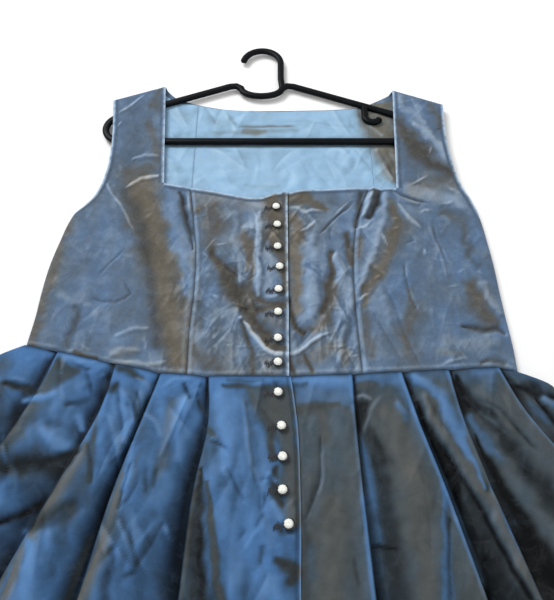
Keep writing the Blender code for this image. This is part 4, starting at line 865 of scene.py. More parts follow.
def ease(low, high, at):
    """0 below low, 1 above high, and a smooth step between."""
    t = np.clip((np.asarray(at, float) - low) / (high - low), 0.0, 1.0)
    return t * t * (3 - 2 * t)


def waist_rise(x):
    """How far up the waist seam lies at x."""
    return np.interp(x, [row[0] for row in WAIST_RISE], [row[1] for row in WAIST_RISE])


# ------------------------------------------------------------------ cloth shells


LEAST_NORMAL = 1e-12
CLOTH_SMOOTH_ANGLE = 55


def shell(name, points, thickness, finish, look, kept=None):
    """A closed thin shell round a grid of middle points, with its look as attributes."""
    along_rows = np.gradient(points, axis=0)
    along_cols = np.gradient(points, axis=1)
    normals = np.cross(along_cols, along_rows)
    normals /= np.maximum(np.linalg.norm(normals, axis=2, keepdims=True), LEAST_NORMAL)
    rows, cols = points.shape[:2]
    count = rows * cols
    sheets = np.concatenate([points + normals * thickness / 2, points - normals * thickness / 2])
    index = np.arange(count).reshape(rows, cols)
    quads = np.stack([index[:-1, :-1], index[:-1, 1:], index[1:, 1:], index[1:, :-1]], axis=-1)
    quads = quads.reshape(-1, 4) if kept is None else quads[kept]
    edges = np.concatenate([quads[:, [i, (i + 1) % 4]] for i in range(4)])
    keys = np.sort(edges, axis=1)
    keys = keys[:, 0] * count + keys[:, 1]
    _, first, times = np.unique(keys, return_index=True, return_counts=True)
    rim = edges[first[times == 1]]
    walls = np.stack([rim[:, 1], rim[:, 0], rim[:, 0] + count, rim[:, 1] + count], axis=1)
    faces = np.concatenate([quads, quads[:, ::-1] + count, walls])
    used, faces = np.unique(faces, return_inverse=True)
    mesh = bpy.data.meshes.new(name)
    mesh.from_pydata(sheets.reshape(-1, 3)[used].tolist(), [], faces.reshape(-1, 4).tolist())
    # The pale attribute carries the painted highlights and the crushed lines, the dark one the painted
    # shade.
    for layer, level in (("tone", look.tone), ("pale", look.lit), ("dark", -look.lit)):
        values = np.clip(np.tile(level.reshape(-1), 2)[used], 0, 1)
        mesh.attributes.new(layer, "FLOAT", "POINT").data.foreach_set("value", values.astype(np.float32))
    return finished(name, mesh, finish, CLOTH_SMOOTH_ANGLE)


def finished(name, mesh, finish, smooth_angle):
    """The object of a mesh, shaded smooth but for edges sharper than the angle."""
    mesh.materials.append(finish)
    mesh.shade_smooth()
    mesh.set_sharp_from_angle(angle=math.radians(smooth_angle))
    return linked(name, mesh)


def placed(made, nodes=()):
    """Rides a piece on the dress, and lets it stand for CAD nodes."""
    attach(made, "root")
    if nodes:
        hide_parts(*nodes)
    return made


# ------------------------------------------------------------------ bodice

# The step of the front's grids, and the widths and heights that it divides.
FINE = 0.00138
CENTRE_WIDTH, CENTRE_HEIGHT = 0.102, 0.236
INNER_WIDTH, OUTER_WIDTH = 0.042, 0.105
STRAP_LENGTH = 0.16
# How far the strap's rows reach past its inner edge, where their cloth is cut away.
CUT_AWAY = 0.033
# Where the front lies over the hanger, and the deepest that its creases sink there.
OVER_HANGER_UP = 0.27
LEAST_OVER_HANGER = -0.0002
SHOULDER_MIDDLE_X = 0.19
# About how far up the neckline lies where the princess seams meet it.
PRINCESS_TOP_UP = 0.24
# A creased shell is this share of its cloth's thickness, so that it stays off its neighbours.
CREASED_SHARE = 0.8
FAR = 1.0
# Creases that are only painted, with a painted highlight on one side and painted shade on the other.
# Columns: seed, count, length, width, strength, angle, spread.
VELVET_CREASES = (
    (91, 60, 0.055, 0.0060, 0.30, 68, 16),
    (92, 60, 0.050, 0.0050, 0.30, 118, 16),
    (93, 40, 0.030, 0.0030, 0.34, 20, 25),
)
LINING_CREASES = (
    (73, 30, 0.060, 0.0080, 0.26, 118, 14),
    (74, 20, 0.050, 0.0060, 0.24, 62, 14),
)
# Lines along the velvet's seams and edges. Columns: distance from the seam, half width.
# The shades are painted shade, the pucker's line is a painted highlight, and the edges' pale line is partly
# wear and partly a painted highlight.
SEAM_GROOVE = (0.0, 0.0014)
SEAM_RIDGE = (0.0036, 0.0018)
SEAM_SHADE = (0.0, 0.0009)
SEAM_PUCKER_HIGHLIGHT = (0.0032, 0.0013)
EDGE_RIDGE = (0.002, 0.0018)
EDGE_SHADE = (0.0045, 0.0018)
EDGE_WEAR_AND_HIGHLIGHT = (0.0, 0.0021)
UNDERLAP_SHADE = (0.0300, 0.0016)


def edge_x(side, up):
    """Where the side seam or the armhole lies."""
    return column(BODICE_EDGES, 0, SIDE_COLUMN[side], up)


def princess_x(side, up):
    """Where the princess seam lies."""
    return column(PRINCESS_SEAMS, 0, SIDE_COLUMN[side], up)


def shoulder_up(side, x):
    """How far up the shoulder fold lies at x."""
    _, inner_x, inner_up, outer_up = STRAPS[side]
    outer_x = edge_x(side, outer_up)
    return inner_up + (outer_up - inner_up) * (x - inner_x) / (outer_x - inner_x)


def turned(distance, radius):
    """How far cloth has turned round an edge of that radius: 0 on the flat, 1 at the edge."""
    share = 1 - np.clip(distance / radius, 0, 1)
    return 1 - np.sqrt(np.maximum(1 - share * share, 0))


def side_turn(side, x, up):
    """How far the cloth has turned down to the side seam, which ends at the underarm."""
    sewn = 1 - ease(UNDERARM_UP, UNDERARM_UP + UNDERARM_FADE, up)
    return turned(np.abs(edge_x(side, up)) - np.abs(x), SIDE_CURL) * sewn


def folds_height(x, up):
    """The height of the bodice's largest folds."""
    height = np.zeros_like(x)
    for from_x, from_up, to_x, to_up, half_width, rise in BODICE_FOLDS:
        dx, dup = to_x - from_x, to_up - from_up
        length = math.hypot(dx, dup)
        along = ((x - from_x) * dx + (up - from_up) * dup) / length
        across = ((x - from_x) * dup - (up - from_up) * dx) / length
        over = np.maximum(np.maximum(-along, along - length), 0)
        height += rise * np.exp(-(across**2 + over**2) / (half_width * 0.8) ** 2)
    return height * (1 - ease(*FOLD_FADE, up))


def front_z(x, up):
    """The height of the front's middle, which climbs over the hanger at the straps."""
    return FRONT_MID + (STRAP_MID - FRONT_MID) * ease(*STRAP_CLIMB, up) + folds_height(x, up)


def front_side_z(side, x, up):
    """The same on the side fronts, turned down to the side seam and the shoulder fold."""
    z = front_z(x, up)
    z -= (z - SIDE_SEAM_Z - SEAM_HALF) * side_turn(side, x, up)
    z -= (z - SHOULDER_SEAM_Z - SEAM_HALF) * turned(shoulder_up(side, x) - up, SHOULDER_CURL)
    return z


def back_side_z(side, x, up):
    """The height of the back's side panels, turned up to the same seams."""
    z = np.full_like(x, BACK_MID)
    z += (SIDE_SEAM_Z - SEAM_HALF - BACK_MID) * side_turn(side, x, up)
    over = turned(shoulder_up(side, x) - up, SHOULDER_CURL) * (up > STRAP_CLIMB[0])
    return z + (SHOULDER_SEAM_Z - SEAM_HALF - z) * over


def panel_up(x, share):
    """How far up a share of the way from the waist seam to the neckline lies."""
    bottom = waist_rise(x)
    return bottom + share * (column(NECKLINE, 0, 1, x) - bottom)


def on_princess(side, share):
    """Where the princess seam lies at a share of the way up."""
    x = princess_x(side, share * PRINCESS_TOP_UP)
    for _ in range(3):
        x = princess_x(side, panel_up(x, share))
    return x


def between(start, end, steps):
    """Columns from start to end for every row, as an array."""
    share = np.linspace(0, 1, steps + 1)
    start, end = (np.asarray(v, float).reshape(-1, 1) for v in (start, end))
    return start + (end - start) * share


def bent_columns(start, bend, end, first_steps, last_steps):
    """Columns from start to bend and on to end."""
    first = between(start, bend, first_steps)[:, :-1]
    return np.concatenate([first, between(bend, end, last_steps)], axis=1)


def side_panel_columns(side, seam, shares, up_at, drawn_in, seam_steps, edge_steps):
    """A back's side panel from its seam, past the strap's corner, to its edge, at every row."""
    corner = np.full_like(shares, STRAPS[side][1])
    edge = edge_x(side, up_at(corner, shares))
    edge = edge_x(side, up_at(edge, shares)) - SIGN[side] * drawn_in
    seam_x = seam + SIGN[side] * SEAM / 2 + 0 * edge
    return bent_columns(seam_x, corner, edge, seam_steps, edge_steps)


def stacked(x, up, z):
    """Points of the frame, as an array."""
    return np.stack([x, up + WAIST_Y, z], axis=-1)


def velvet_look(points, seam_distances, edge_distances):
    """The velvet's folds, crushed lines and nap on the front, with its seams and edges, and their painted
    light and shade.
    """
    look = Look(points, 0.22)
    broad, fine = cloudy(points, 0.050, 3, 4, 0.090, 80), cloudy(points, 0.018, 4, 4, 0.040, 75)
    look.tone += 0.15 * broad + 0.12 * fine
    look.strokes(BODICE_STROKES, 2.4, 0.9, 2.0, 1.35)
    outer = ease(0.09, 0.13, np.abs(points[..., 0]))
    rough = crushed_parts(points, 0.055, 6, 0.6, 0.1, 1.3) * (1 - 0.60 * outer)
    crush = creased(points, 0.020, 7, 0.055, 65) + creased(points, 0.018, 8, 0.050, 118)
    fine = creased(points, 0.009, 9, 0.022, 80) + creased(points, 0.008, 10, 0.020, 140)
    look.height += rough * (0.00055 * crush + 0.00018 * fine + 0.0006 * cloudy(points, 0.022, 11, 3))
    for distance in seam_distances:
        look.height += 0.0005 * band(distance, *SEAM_RIDGE) - 0.0008 * band(distance, *SEAM_GROOVE)
    for distance in edge_distances:
        look.height += 0.0004 * band(distance, *EDGE_RIDGE)
    # Painted light and shade on the slopes of the folds and creases, which also turn the tone.
    look.slope_light(0.85, 0.40)
    # Creases painted only as a highlight on one side and shade on the other.
    for row in VELVET_CREASES:
        look.creases(*row, rough)
    look.lit += 0.10 * cloudy(points, 0.020, 94, 4) + 0.07 * (1 - outer)
    # Along the seams, painted shade in the seam and a painted highlight on the pucker beside it.
    for distance in seam_distances:
        look.paint(-0.70, 0.85 * band(distance, *SEAM_SHADE))
        puckered = 0.6 + 0.4 * waves(points, 0.006, 12)
        look.paint(0.45, 0.55 * puckered * band(distance, *SEAM_PUCKER_HIGHLIGHT))
    # Along the edges, painted shade a little in from the edge, and on the edge a pale line that is partly
    # wear and partly a painted highlight, made uneven by a noise.
    for distance in edge_distances:
        unevenness = np.clip(0.85 + 0.6 * cloudy(points, 0.007, 13, 2), 0.35, 1)
        rim = unevenness * band(distance, *EDGE_WEAR_AND_HIGHLIGHT)
        look.paint(-0.45, 0.8 * band(distance, *EDGE_SHADE))
        look.paint(1.0, rim)
        look.tone *= 1 - 0.9 * rim
    return look


def add_front_centres(finish):
    """The centre fronts. The left one laps over the right one at the closure."""
    closure = (("left", LAP_EDGE_X, VELVET + CLOSURE_GAP), ("right", UNDERLAP_X, 0.0))
    for side, edge, lap_rise in closure:
        inset = -SIGN[side] * SEAM / 2
        shares = np.linspace(0, 1, round(CENTRE_HEIGHT / FINE) + 1).reshape(-1, 1)
        seam_x = on_princess(side, shares) + inset
        x = between(edge, seam_x, round(CENTRE_WIDTH / FINE))
        up = panel_up(x, shares)
        z = front_z(x, up) + lap_rise * ease(LAP_RISE_FROM, UNDERLAP_X - 0.003, x)
        points = stacked(x, up, z)
        top = (1 - shares) * CENTRE_HEIGHT + 0 * x
        seams = [np.abs(x - seam_x), shares * CENTRE_HEIGHT + 0 * x]
        look = velvet_look(points, seams, [top, np.abs(x - edge)])
        if side == "right":
            beyond_lap, half_width = UNDERLAP_SHADE
            look.paint(-0.85, band(np.maximum(x - edge - beyond_lap, 0), 0, half_width))
        points[..., 2] += look.height
        made = shell(f"velvet_front_centre_{side}", points, VELVET * CREASED_SHARE, finish, look)
        placed(made, [f"front_centre_{side}"])


def add_front_sides(finish):
    """The side fronts, each cut in one with its strap up to the shoulder fold."""
    for side, (inner_low, inner_high, _, _) in STRAPS.items():
        sign = SIGN[side]
        corner_up = float(column(NECKLINE, 0, 1, inner_low))

        def start_up(x, share=1.0):
            low = np.abs(x) < abs(inner_low)
            rise = waist_rise(x)
            return np.where(low, panel_up(x, share), rise + share * (corner_up - rise))

        inner_steps, outer_steps = round(INNER_WIDTH / FINE), round(OUTER_WIDTH / FINE)
        shares = np.linspace(0, 1, round(corner_up / FINE) + 1).reshape(-1, 1)
        edge = edge_x(side, start_up(edge_x(side, shares * corner_up), shares))
        seam_x = on_princess(side, shares) + sign * SEAM / 2
        x = bent_columns(seam_x, np.full_like(edge, inner_low), edge, inner_steps, outer_steps)
        up = start_up(x, shares)
        lower_rows = len(shares)
        share = np.linspace(0, 1, round(STRAP_LENGTH / FINE) + 1)[1:].reshape(-1, 1)
        inner_x = inner_low + (inner_high - inner_low) * share
        level = corner_up + share * (shoulder_up(side, sign * SHOULDER_MIDDLE_X) - corner_up)
        outer_x = edge_x(side, level)
        strap_x = bent_columns(inner_x - sign * CUT_AWAY, inner_x, outer_x, inner_steps, outer_steps)
        start = start_up(strap_x)
        strap_up = start + share * (shoulder_up(side, strap_x) - start)
        x = np.concatenate([x, strap_x])
        up = np.concatenate([up, strap_up])
        points = stacked(x, up, front_side_z(side, x, up))
        kept = np.ones((x.shape[0] - 1, x.shape[1] - 1), bool)
        kept[lower_rows - 1:, :inner_steps] = False
        on_strap = np.arange(x.shape[0]).reshape(-1, 1) >= lower_rows
        far = np.full_like(x, FAR)
        from_seam = np.where(on_strap, far, np.abs(x - x[:, :1]))
        from_waist = np.abs(up - waist_rise(x))
        from_edge = np.abs(np.abs(edge_x(side, up)) - np.abs(x))
        from_edge = np.where(up > UNDERARM_UP, from_edge, far)
        from_neck = np.where(on_strap, np.abs(x - x[:, inner_steps:inner_steps + 1]), start_up(x) - up)
        from_neck = np.where(on_strap | (np.abs(x) < abs(inner_low)), from_neck, far)
        look = velvet_look(points, [from_seam, from_waist], [from_edge, from_neck])
        # Over the hanger the strap can't sink, and the turned edges stay on their seams.
        calm = 1 - np.maximum(side_turn(side, x, up), turned(shoulder_up(side, x) - up, SHOULDER_CURL))
        raised = np.maximum(look.height, LEAST_OVER_HANGER)
        look.height = np.where(up > OVER_HANGER_UP, raised, look.height) * calm
        points[..., 2] += look.height
        made = shell(f"velvet_front_side_{side}", points, VELVET * CREASED_SHARE, finish, look, kept)
        placed(made, [f"front_side_{side}"])


BACK_ROWS = np.linspace(0, 1, 84).reshape(-1, 1)


def back_top(x):
    """How far up the back's neck edge lies at x."""
    return column(BACK_NECK, 0, 1, x)


def back_look(points, seam_distances):
    """The plainer look of the back's velvet, with the shade of its seams."""
    look = Look(points, 0.2)
    look.tone += 0.35 * cloudy(points, 0.050, 23, 4)
    rough = crushed_parts(points, 0.060, 24, 0.5, 0.1, 1.2)
    crush = creased(points, 0.024, 25, 0.060, 70) + creased(points, 0.022, 26, 0.055, 115)
    # Pale and dark crushed lines without height: partly the pile's own colour, partly painted light and
    # shade.
    look.paint(0.40, 0.5 * rough * crush**2)
    look.paint(-0.40, 0.5 * rough * creased(points, 0.026, 27, 0.060, 95) ** 2)
    for distance in seam_distances:
        look.paint(-0.6, band(distance, *SEAM_GROOVE))
    return look


def add_back(finish):
    """The back: a centre panel and two side panels with the straps' back halves."""
    x = between(BACK_SEAMS["left"] + SEAM / 2, BACK_SEAMS["right"] - SEAM / 2, 40) + 0 * BACK_ROWS
    up = waist_rise(x) + BACK_ROWS * (back_top(x) - waist_rise(x))
    points = stacked(x, up, np.full_like(x, BACK_MID))
    look = back_look(points, [x - x[:, :1], x[:, -1:] - x])
    made = shell("velvet_back_centre", points, VELVET, finish, look)
    placed(made, ["back_centre"])
    for side, seam in BACK_SEAMS.items():
        corner_x = STRAPS[side][1]

        def up_at(x, share):
            top = np.where(np.abs(x) >= abs(corner_x), shoulder_up(side, x), back_top(x))
            return waist_rise(x) + (1 - (1 - share) ** 1.6) * (top - waist_rise(x))

        x = side_panel_columns(side, seam, BACK_ROWS, up_at, 0.0, 10, 24)
        up = up_at(x, BACK_ROWS)
        points = stacked(x, up, back_side_z(side, x, up))
        look = back_look(points, [np.abs(x - x[:, :1])])
        made = shell(f"velvet_back_side_{side}", points, VELVET, finish, look)
        placed(made, [f"back_side_{side}"])


def add_lining(finish):
    """The light blue lining on the back's inner face, creased where it shows in the neck."""
    inset, clear = 0.003, SIDE_CURL + 0.004
    shares = (np.linspace(0, 1, 124) ** 0.55).reshape(-1, 1)

    def add_panel(name, node, x, up):
        points = stacked(x, up, np.full_like(x, LINING_MID))
        look = Look(points, 0.10)
        look.tone += 0.12 * cloudy(points, 0.045, 13, 3)
        look.strokes(LINING_STROKES, 1.4, 1.0, 2.2)
        rough = crushed_parts(points, 0.060, 14, 0.6, 0.15, 1.3)
        crumple = facets(points, 0.030, 15, 0.055, 60) + facets(points, 0.022, 17, 0.040, 110)
        look.height += rough * 0.0013 * crumple + 0.0004 * (1 + cloudy(points, 0.03, 19))
        from_bar = np.abs(up - BAR_UP)
        room = ease(ROD_WIDTH * 0.5, ROD_WIDTH * 1.6, from_bar)
        look.height = np.maximum(look.height, 0) * room
        # Painted light and shade on the slopes of the crumples, which also turn the tone.
        look.slope_light(0.85, 0.25)
        for row in LINING_CREASES:
            look.creases(*row)
        # A painted shadow along both sides of the hanger's bar.
        look.paint(-0.45, 0.8 * band(from_bar, ROD_WIDTH * 0.5, 0.004))
        look.paint(-0.30, 0.8 * band(x, BACK_SEAMS["left"], 0.0008))
        points[..., 2] += look.height
        made = shell(name, points, LINING * 0.7, finish, look)
        placed(made, [node])

    x = between(BACK_SEAMS["left"] + SEAM / 2, BACK_SEAMS["right"] - SEAM / 2, 108) + 0 * shares
    bottom = waist_rise(x) + inset
    up = bottom + shares * (back_top(x) - inset - bottom)
    add_panel("lining_back_centre", "lining_centre", x, up)
    for side, seam in BACK_SEAMS.items():
        corner_x = STRAPS[side][1]
        seam_x = seam + SIGN[side] * SEAM / 2

        def up_at(x, share):
            top = np.where(np.abs(x) >= abs(corner_x), shoulder_up(side, x) - clear, back_top(x) - inset)
            gap = (clear - inset) * ease(abs(seam_x), abs(corner_x), np.abs(x))
            top = np.where(np.abs(x) < abs(corner_x), top - gap, top)
            bottom = waist_rise(x) + inset
            return bottom + share * (top - bottom)

        x = side_panel_columns(side, seam, shares, up_at, clear, 20, 22)
        name, node = f"lining_back_side_{side}", f"lining_side_{side}"
        add_panel(name, node, x, up_at(x, shares))


# ------------------------------------------------------------------ skirt

# The steps across the skirt's cloth: where it is seen, where it is folded under, on the back.
SEEN_STEP, HIDDEN_STEP, BACK_STEP = 0.0021, 0.014, 0.020
SHOWN_DOWN = 0.14
# The rows down the skirt, closest at the waist seam and fine where the picture shows them.
SKIRT_ROWS = np.concatenate([
    np.linspace(0, 0.012, 7)[:-1],
    np.linspace(0.012, 0.262, 112)[:-1],
    np.linspace(0.262, SKIRT_LENGTH, 36),
])


def station_value(values):
    """A value of the stations down, at every row of the skirt."""
    return smooth(DOWN_STATIONS, values, SKIRT_ROWS)


def section_paths(folds, starts, side_x, curl, low, under, top, side_mid):
    """The cloth's path across one half at every row, as (distance, height, seen) columns.

    seen is 1 on the panels that lie on top and 0 on what is folded under them.
    """
    depth = station_value(PLEAT_DEPTH)
    path = [(x, z, 1.0) for x, z in starts]
    tip = np.minimum(FOLD_TIP, depth / 3)
    lip = np.copysign(np.minimum(FOLD_LIP, np.abs(top - low) / 2), top - low)
    for i, fold in enumerate(folds):
        if i:
            before = folds[i - 1]
            start = fold - depth - PLEAT_CLEAR
            path += [(before + FOLD_RIM, low, 0.0)]
            path += [(np.maximum(start, before + LEAST_PANEL), low + (top - low) * 0.92, 1.0)]
            path += [((start + fold) / 2, top, 1.0)]
        path += [(fold - tip, top, 1.0), (fold, top - lip / 2, 0.0), (fold - tip, top - lip, 0.0)]
        inmost = fold - depth
        path += [(fold - depth * 0.6, under, 0.0), (inmost + PLEAT_BEND, under, 0.0)]
        path += [(inmost, (under + low) / 2, 0.0), (inmost + PLEAT_BEND, low, 0.0)]
    last = folds[-1]
    crown = low + (top - low) * 0.8
    path += [(last + FOLD_RIM, low, 0.0)]
    path += [((last + FOLD_RIM + side_x - curl) / 2, low + (crown - low) * 0.8, 1.0)]
    for angle in CURL_ANGLES:
        turn = math.radians(angle)
        x = side_x - curl * (1 - math.sin(turn))
        path.append((x, side_mid + (crown - side_mid) * math.cos(turn), 1.0 - angle / 90))
    columns = [[np.broadcast_to(value, SKIRT_ROWS.shape) for value in point] for point in path]
    return np.moveaxis(np.array(columns), 2, 0)


def rounded(path, passes):
    """Cuts a path's corners, so that its folds turn in curves."""
    for _ in range(passes):
        a, b = path[:, :-1], path[:, 1:]
        cut = np.stack([a * 0.75 + b * 0.25, a * 0.25 + b * 0.75], axis=2)
        cut = cut.reshape(len(path), -1, path.shape[2])
        path = np.concatenate([path[:, :1], cut, path[:, -1:]], axis=1)
    return path


def divided(path, seen_step, hidden_step, row):
    """Splits a path's long segments, finely where they are seen."""
    pieces = []
    for i in range(path.shape[1] - 1):
        a, b = path[:, i:i + 1], path[:, i + 1:i + 2]
        length = np.linalg.norm((b - a)[row, 0, :2])
        seen = (a + b)[row, 0, 2] / 2
        steps = max(1, math.ceil(length / (seen_step if seen > 0.2 else hidden_step)))
        share = (np.arange(steps) / steps).reshape(1, -1, 1)
        pieces.append(a + (b - a) * share)
    return np.concatenate(pieces + [path[:, -1:]], axis=1)


def laid_out(path, sign):
    """Points of one half of the skirt from its section paths, fanned from the waist."""
    x, z = path[..., 0], path[..., 1]
    waist_x = x[:1]
    fall = SKIRT_ROWS.reshape(-1, 1) * (1 - HEM_LIFT * (waist_x / HALF_WAIST) ** 2)
    return stacked(sign * x, waist_rise(sign * waist_x) - SEAM_RISE - fall, z)


def front_paths(side):
    """A skirt front's section paths, its folds and the edge of its lap, at every row."""
    low, under, top, centre = (
        station_value(values) for values in (FRONT_LOW, FRONT_UNDER, FRONT_TOP, FRONT_CENTRE)
    )
    folds = [station_value(row) for row in FRONT_PLEATS[side]]
    lap, underlap = station_value(LAP_LINE), station_value(UNDERLAP_LINE)
    rising = centre + (top - centre) * 0.75
    if side == "left":
        starts = [(-lap, centre), (-underlap, centre)]
        starts += [(folds[0] * 0.42, centre + (top - centre) * 0.2), (folds[0] * 0.72, rising)]
    else:
        lapped = centre - TAFFETA - CLOSURE_GAP - SEAM_RISE
        starts = [(underlap, lapped), (lap, lapped)]
        starts += [((lap + folds[0]) / 2, lapped + (rising - lapped) * 0.7), (folds[0] * 0.8, rising)]
    side_x = column(SIDE_LINE, 0, SIDE_COLUMN[side], SKIRT_ROWS)
    side_mid = station_value(SIDE_MID) + SEAM_HALF
    path = section_paths(folds, starts, side_x, station_value(SKIRT_CURL), low, under, top, side_mid)
    return path, folds, lap


# The left front shows the blue side of the shot taffeta and the right one the brown side. fan is the pleats'
# direction in degrees from +X, and lean is added to it for the creases across them. The tones of streaks and
# of folds' rims are added to the cloth's. rim_light and rim_cover set the painted highlight on each fold's
# rim, and turned_tone how far the painted light on the slopes turns the tone.
FRONT_LOOKS = {
    "left": {
        "tone": 0.22, "drift": 0.24, "fan": 100, "lean": -28, "streak": 0.55, "power": 2.2,
        "rim_light": 0.18, "rim_cover": 0.5, "rim_tone": -0.08, "rim_tone_below": 0.60,
        "rough": 1.0, "turned_tone": 0.5, "crumpled": 1.0, "crease": 0.52,
    },
    "right": {
        "tone": 0.81, "drift": 0.14, "fan": 80, "lean": 28, "streak": -0.50, "power": 2.8,
        "rim_light": 0.40, "rim_cover": 0.8, "rim_tone": -0.40, "rim_tone_below": 0.0,
        "rough": 0.45, "turned_tone": 0.3, "crumpled": 0.5, "crease": 0.34,
    },
}
# Where the streaks along the pleats begin, and where a fold's rim changes its tone, down.
STREAKS_FROM = (0.16, 0.34)
RIM_CHANGES = (0.04, 0.14)
CREASE_SEEDS = (95, 96, 97)
# Lines along folds and the lap's edge. Columns: distance from it, half width.
# FOLD_GAP and the line beside the lap's edge are painted shade, FOLD_EDGE and LAP_EDGE painted highlights.
FOLD_GAP = (0.0006, 0.0022)
FOLD_EDGE = (-0.0030, 0.0017)
LAP_SHADOW = (0.0030, 0.0016)
LAP_EDGE = (0.0, 0.0016)
WAIST_SHADE = (0.0, 0.0018)
FOLD_SHADE_FROM = -0.0015


def patches(points, size, seed, length, angle, gain, start):
    """Soft drawn-out patches, 0 to 1, where the noise rises over a start."""
    return np.clip(cloudy(points, size, seed, 3, length, angle) * gain - start, 0, 1)


def taffeta_look(points, path, folds, lap, side):
    """The taffeta's creases, its blue and brown sides, and the painted shade beyond each fold, with more
    painted light and shade on its folds, creases and lap.
    """
    own = FRONT_LOOKS[side]
    fan, lean = own["fan"], own["fan"] + own["lean"]
    down = SKIRT_ROWS.reshape(-1, 1)
    distance = path[..., 0]
    seen = np.clip(path[..., 2] * 1.6 - 0.3, 0, 1)
    look = Look(points, own["tone"])
    drift = cloudy(points, 0.040, 33, 3, 0.110, fan)
    look.tone += own["drift"] * drift + 0.05 * cloudy(points, 0.012, 34, 3)
    look.tone -= 0.35 * (1 - ease(0.0, 0.032, down))
    across = distance / distance.max(axis=1, keepdims=True)
    flow = np.stack([0.45 * across, down + 0 * across], axis=-1)
    lower = ease(*STREAKS_FROM, down)
    look.tone += own["streak"] * patches(flow, 0.015, 47, 0.280, 90, 1.3, 0.05) * lower
    look.paint(-0.35, 0.7 * patches(flow, 0.013, 48, 0.200, 90, 1.5, 0.20) * lower)
    look.paint(-0.30, 0.6 * patches(points, 0.045, 45, 0.100, fan, 1.3, 0.10))
    # Painted shade on the cloth that is folded under the panels.
    look.paint(-0.85, (1 - np.clip(seen * 1.5, 0, 1)) * ease(0.004, 0.012, down))
    for fold, widths in zip(folds, SHADE_WIDTHS[side]):
        beyond = distance - fold.reshape(-1, 1)
        width = station_value(widths).reshape(-1, 1)
        shade = np.exp(-((np.maximum(beyond, 0) / width) ** 1.5))
        look.paint(-1.0, shade * (beyond > FOLD_SHADE_FROM))
    look.strokes(SKIRT_STROKES, 1.8, 2.1, own["power"])
    rim_tone = own["rim_tone"] + own["rim_tone_below"] * ease(*RIM_CHANGES, down)
    # A black line of painted shade in each fold's gap, and a painted highlight on its rim.
    for fold in folds:
        beyond = distance - fold.reshape(-1, 1)
        look.paint(-1.0, band(beyond, *FOLD_GAP))
        rim = band(beyond, *FOLD_EDGE) * ease(0.3, 0.6, seen)
        look.paint(own["rim_light"], own["rim_cover"] * rim)
        look.tone += rim_tone * rim
    rough = crushed_parts(points, 0.080, 35, 0.65, 0.2, 1.4) * own["rough"]
    crisp = facets(points, 0.024, 36, 0.075, lean)
    small = facets(points, 0.013, 38, 0.030, fan)
    look.height += rough * (0.0020 * crisp + 0.0005 * small)
    look.height += 0.0012 * cloudy(points, 0.035, 41, 3, 0.080, fan)
    sewn_down = seen * ease(0.0, 0.010, down)
    look.height *= sewn_down
    # Painted light and shade on the slopes, which also turn the tone as a painted sheen.
    look.slope_light(0.95, own["turned_tone"], sewn_down)
    crumpled = sewn_down * np.clip(1.3 - down / 0.30, 0.45, 1) * own["crumpled"]
    # Creases painted only as a highlight on one side and shade on the other.
    for seed, angle in zip(CREASE_SEEDS, (fan, lean, 180 - lean)):
        look.creases(seed, 90, 0.065, 0.0085, own["crease"], angle, 14, crumpled)
    if side == "left":
        # Painted shade beside the lap's edge, and a painted highlight on the edge.
        away = distance + lap.reshape(-1, 1)
        look.paint(-0.7, band(away, *LAP_SHADOW))
        look.paint(0.75, band(away, *LAP_EDGE))
    look.paint(-0.8, band(down, *WAIST_SHADE) + 0 * distance)
    return look


def add_skirt_fronts(finish):
    """The skirt's fronts. Their paths are divided by their lengths in the middle of what shows."""
    visible_row = int(np.argmin(np.abs(SKIRT_ROWS - SHOWN_DOWN)))
    for side, sign in SIGN.items():
        path, folds, lap = front_paths(side)
        path = divided(rounded(path, 2), SEEN_STEP, HIDDEN_STEP, visible_row)
        points = laid_out(path, sign)
        look = taffeta_look(points, path, folds, lap, side)
        points[..., 2] += look.height
        made = shell(f"taffeta_skirt_front_{side}", points, TAFFETA * CREASED_SHARE, finish, look)
        placed(made, [f"skirt_front_{side}"])


def add_skirt_back(finish):
    """The back: the same pleats face down, its outer panels on the floor."""
    folds = [station_value(row) for row in BACK_PLEATS]
    starts = [(0.0, BACK_OUTER), (folds[0] * 0.5, BACK_OUTER)]
    halves = []
    for side, sign in SIGN.items():
        side_x = column(SIDE_LINE, 0, SIDE_COLUMN[side], SKIRT_ROWS)
        side_mid = station_value(SIDE_MID) - SEAM_HALF
        path = section_paths(
            folds, starts, side_x, station_value(SKIRT_CURL), BACK_INNER, BACK_UNDER, BACK_OUTER, side_mid
        )
        path = divided(rounded(path, 1), BACK_STEP, BACK_STEP, len(SKIRT_ROWS) // 2)
        halves.append(laid_out(path, sign))
    points = np.concatenate([halves[0][::2, ::-1], halves[1][::2, 1:]], axis=1)
    look = Look(points, 0.4)
    look.tone += 0.35 * cloudy(points, 0.040, 43, 4, 0.110, 90)
    made = shell("taffeta_skirt_back", points, TAFFETA, finish, look)
    placed(made, ["skirt_back"])


# ------------------------------------------------------------------ hanger, buttons, stitches


def arc(centre_x, centre_up, radius_x, radius_up, start, end, steps):
    """Points along an arc, from one angle to another in degrees."""
    angles = np.radians(np.linspace(start, end, steps + 1))
    return [(centre_x + radius_x * math.cos(a), centre_up + radius_up * math.sin(a)) for a in angles]


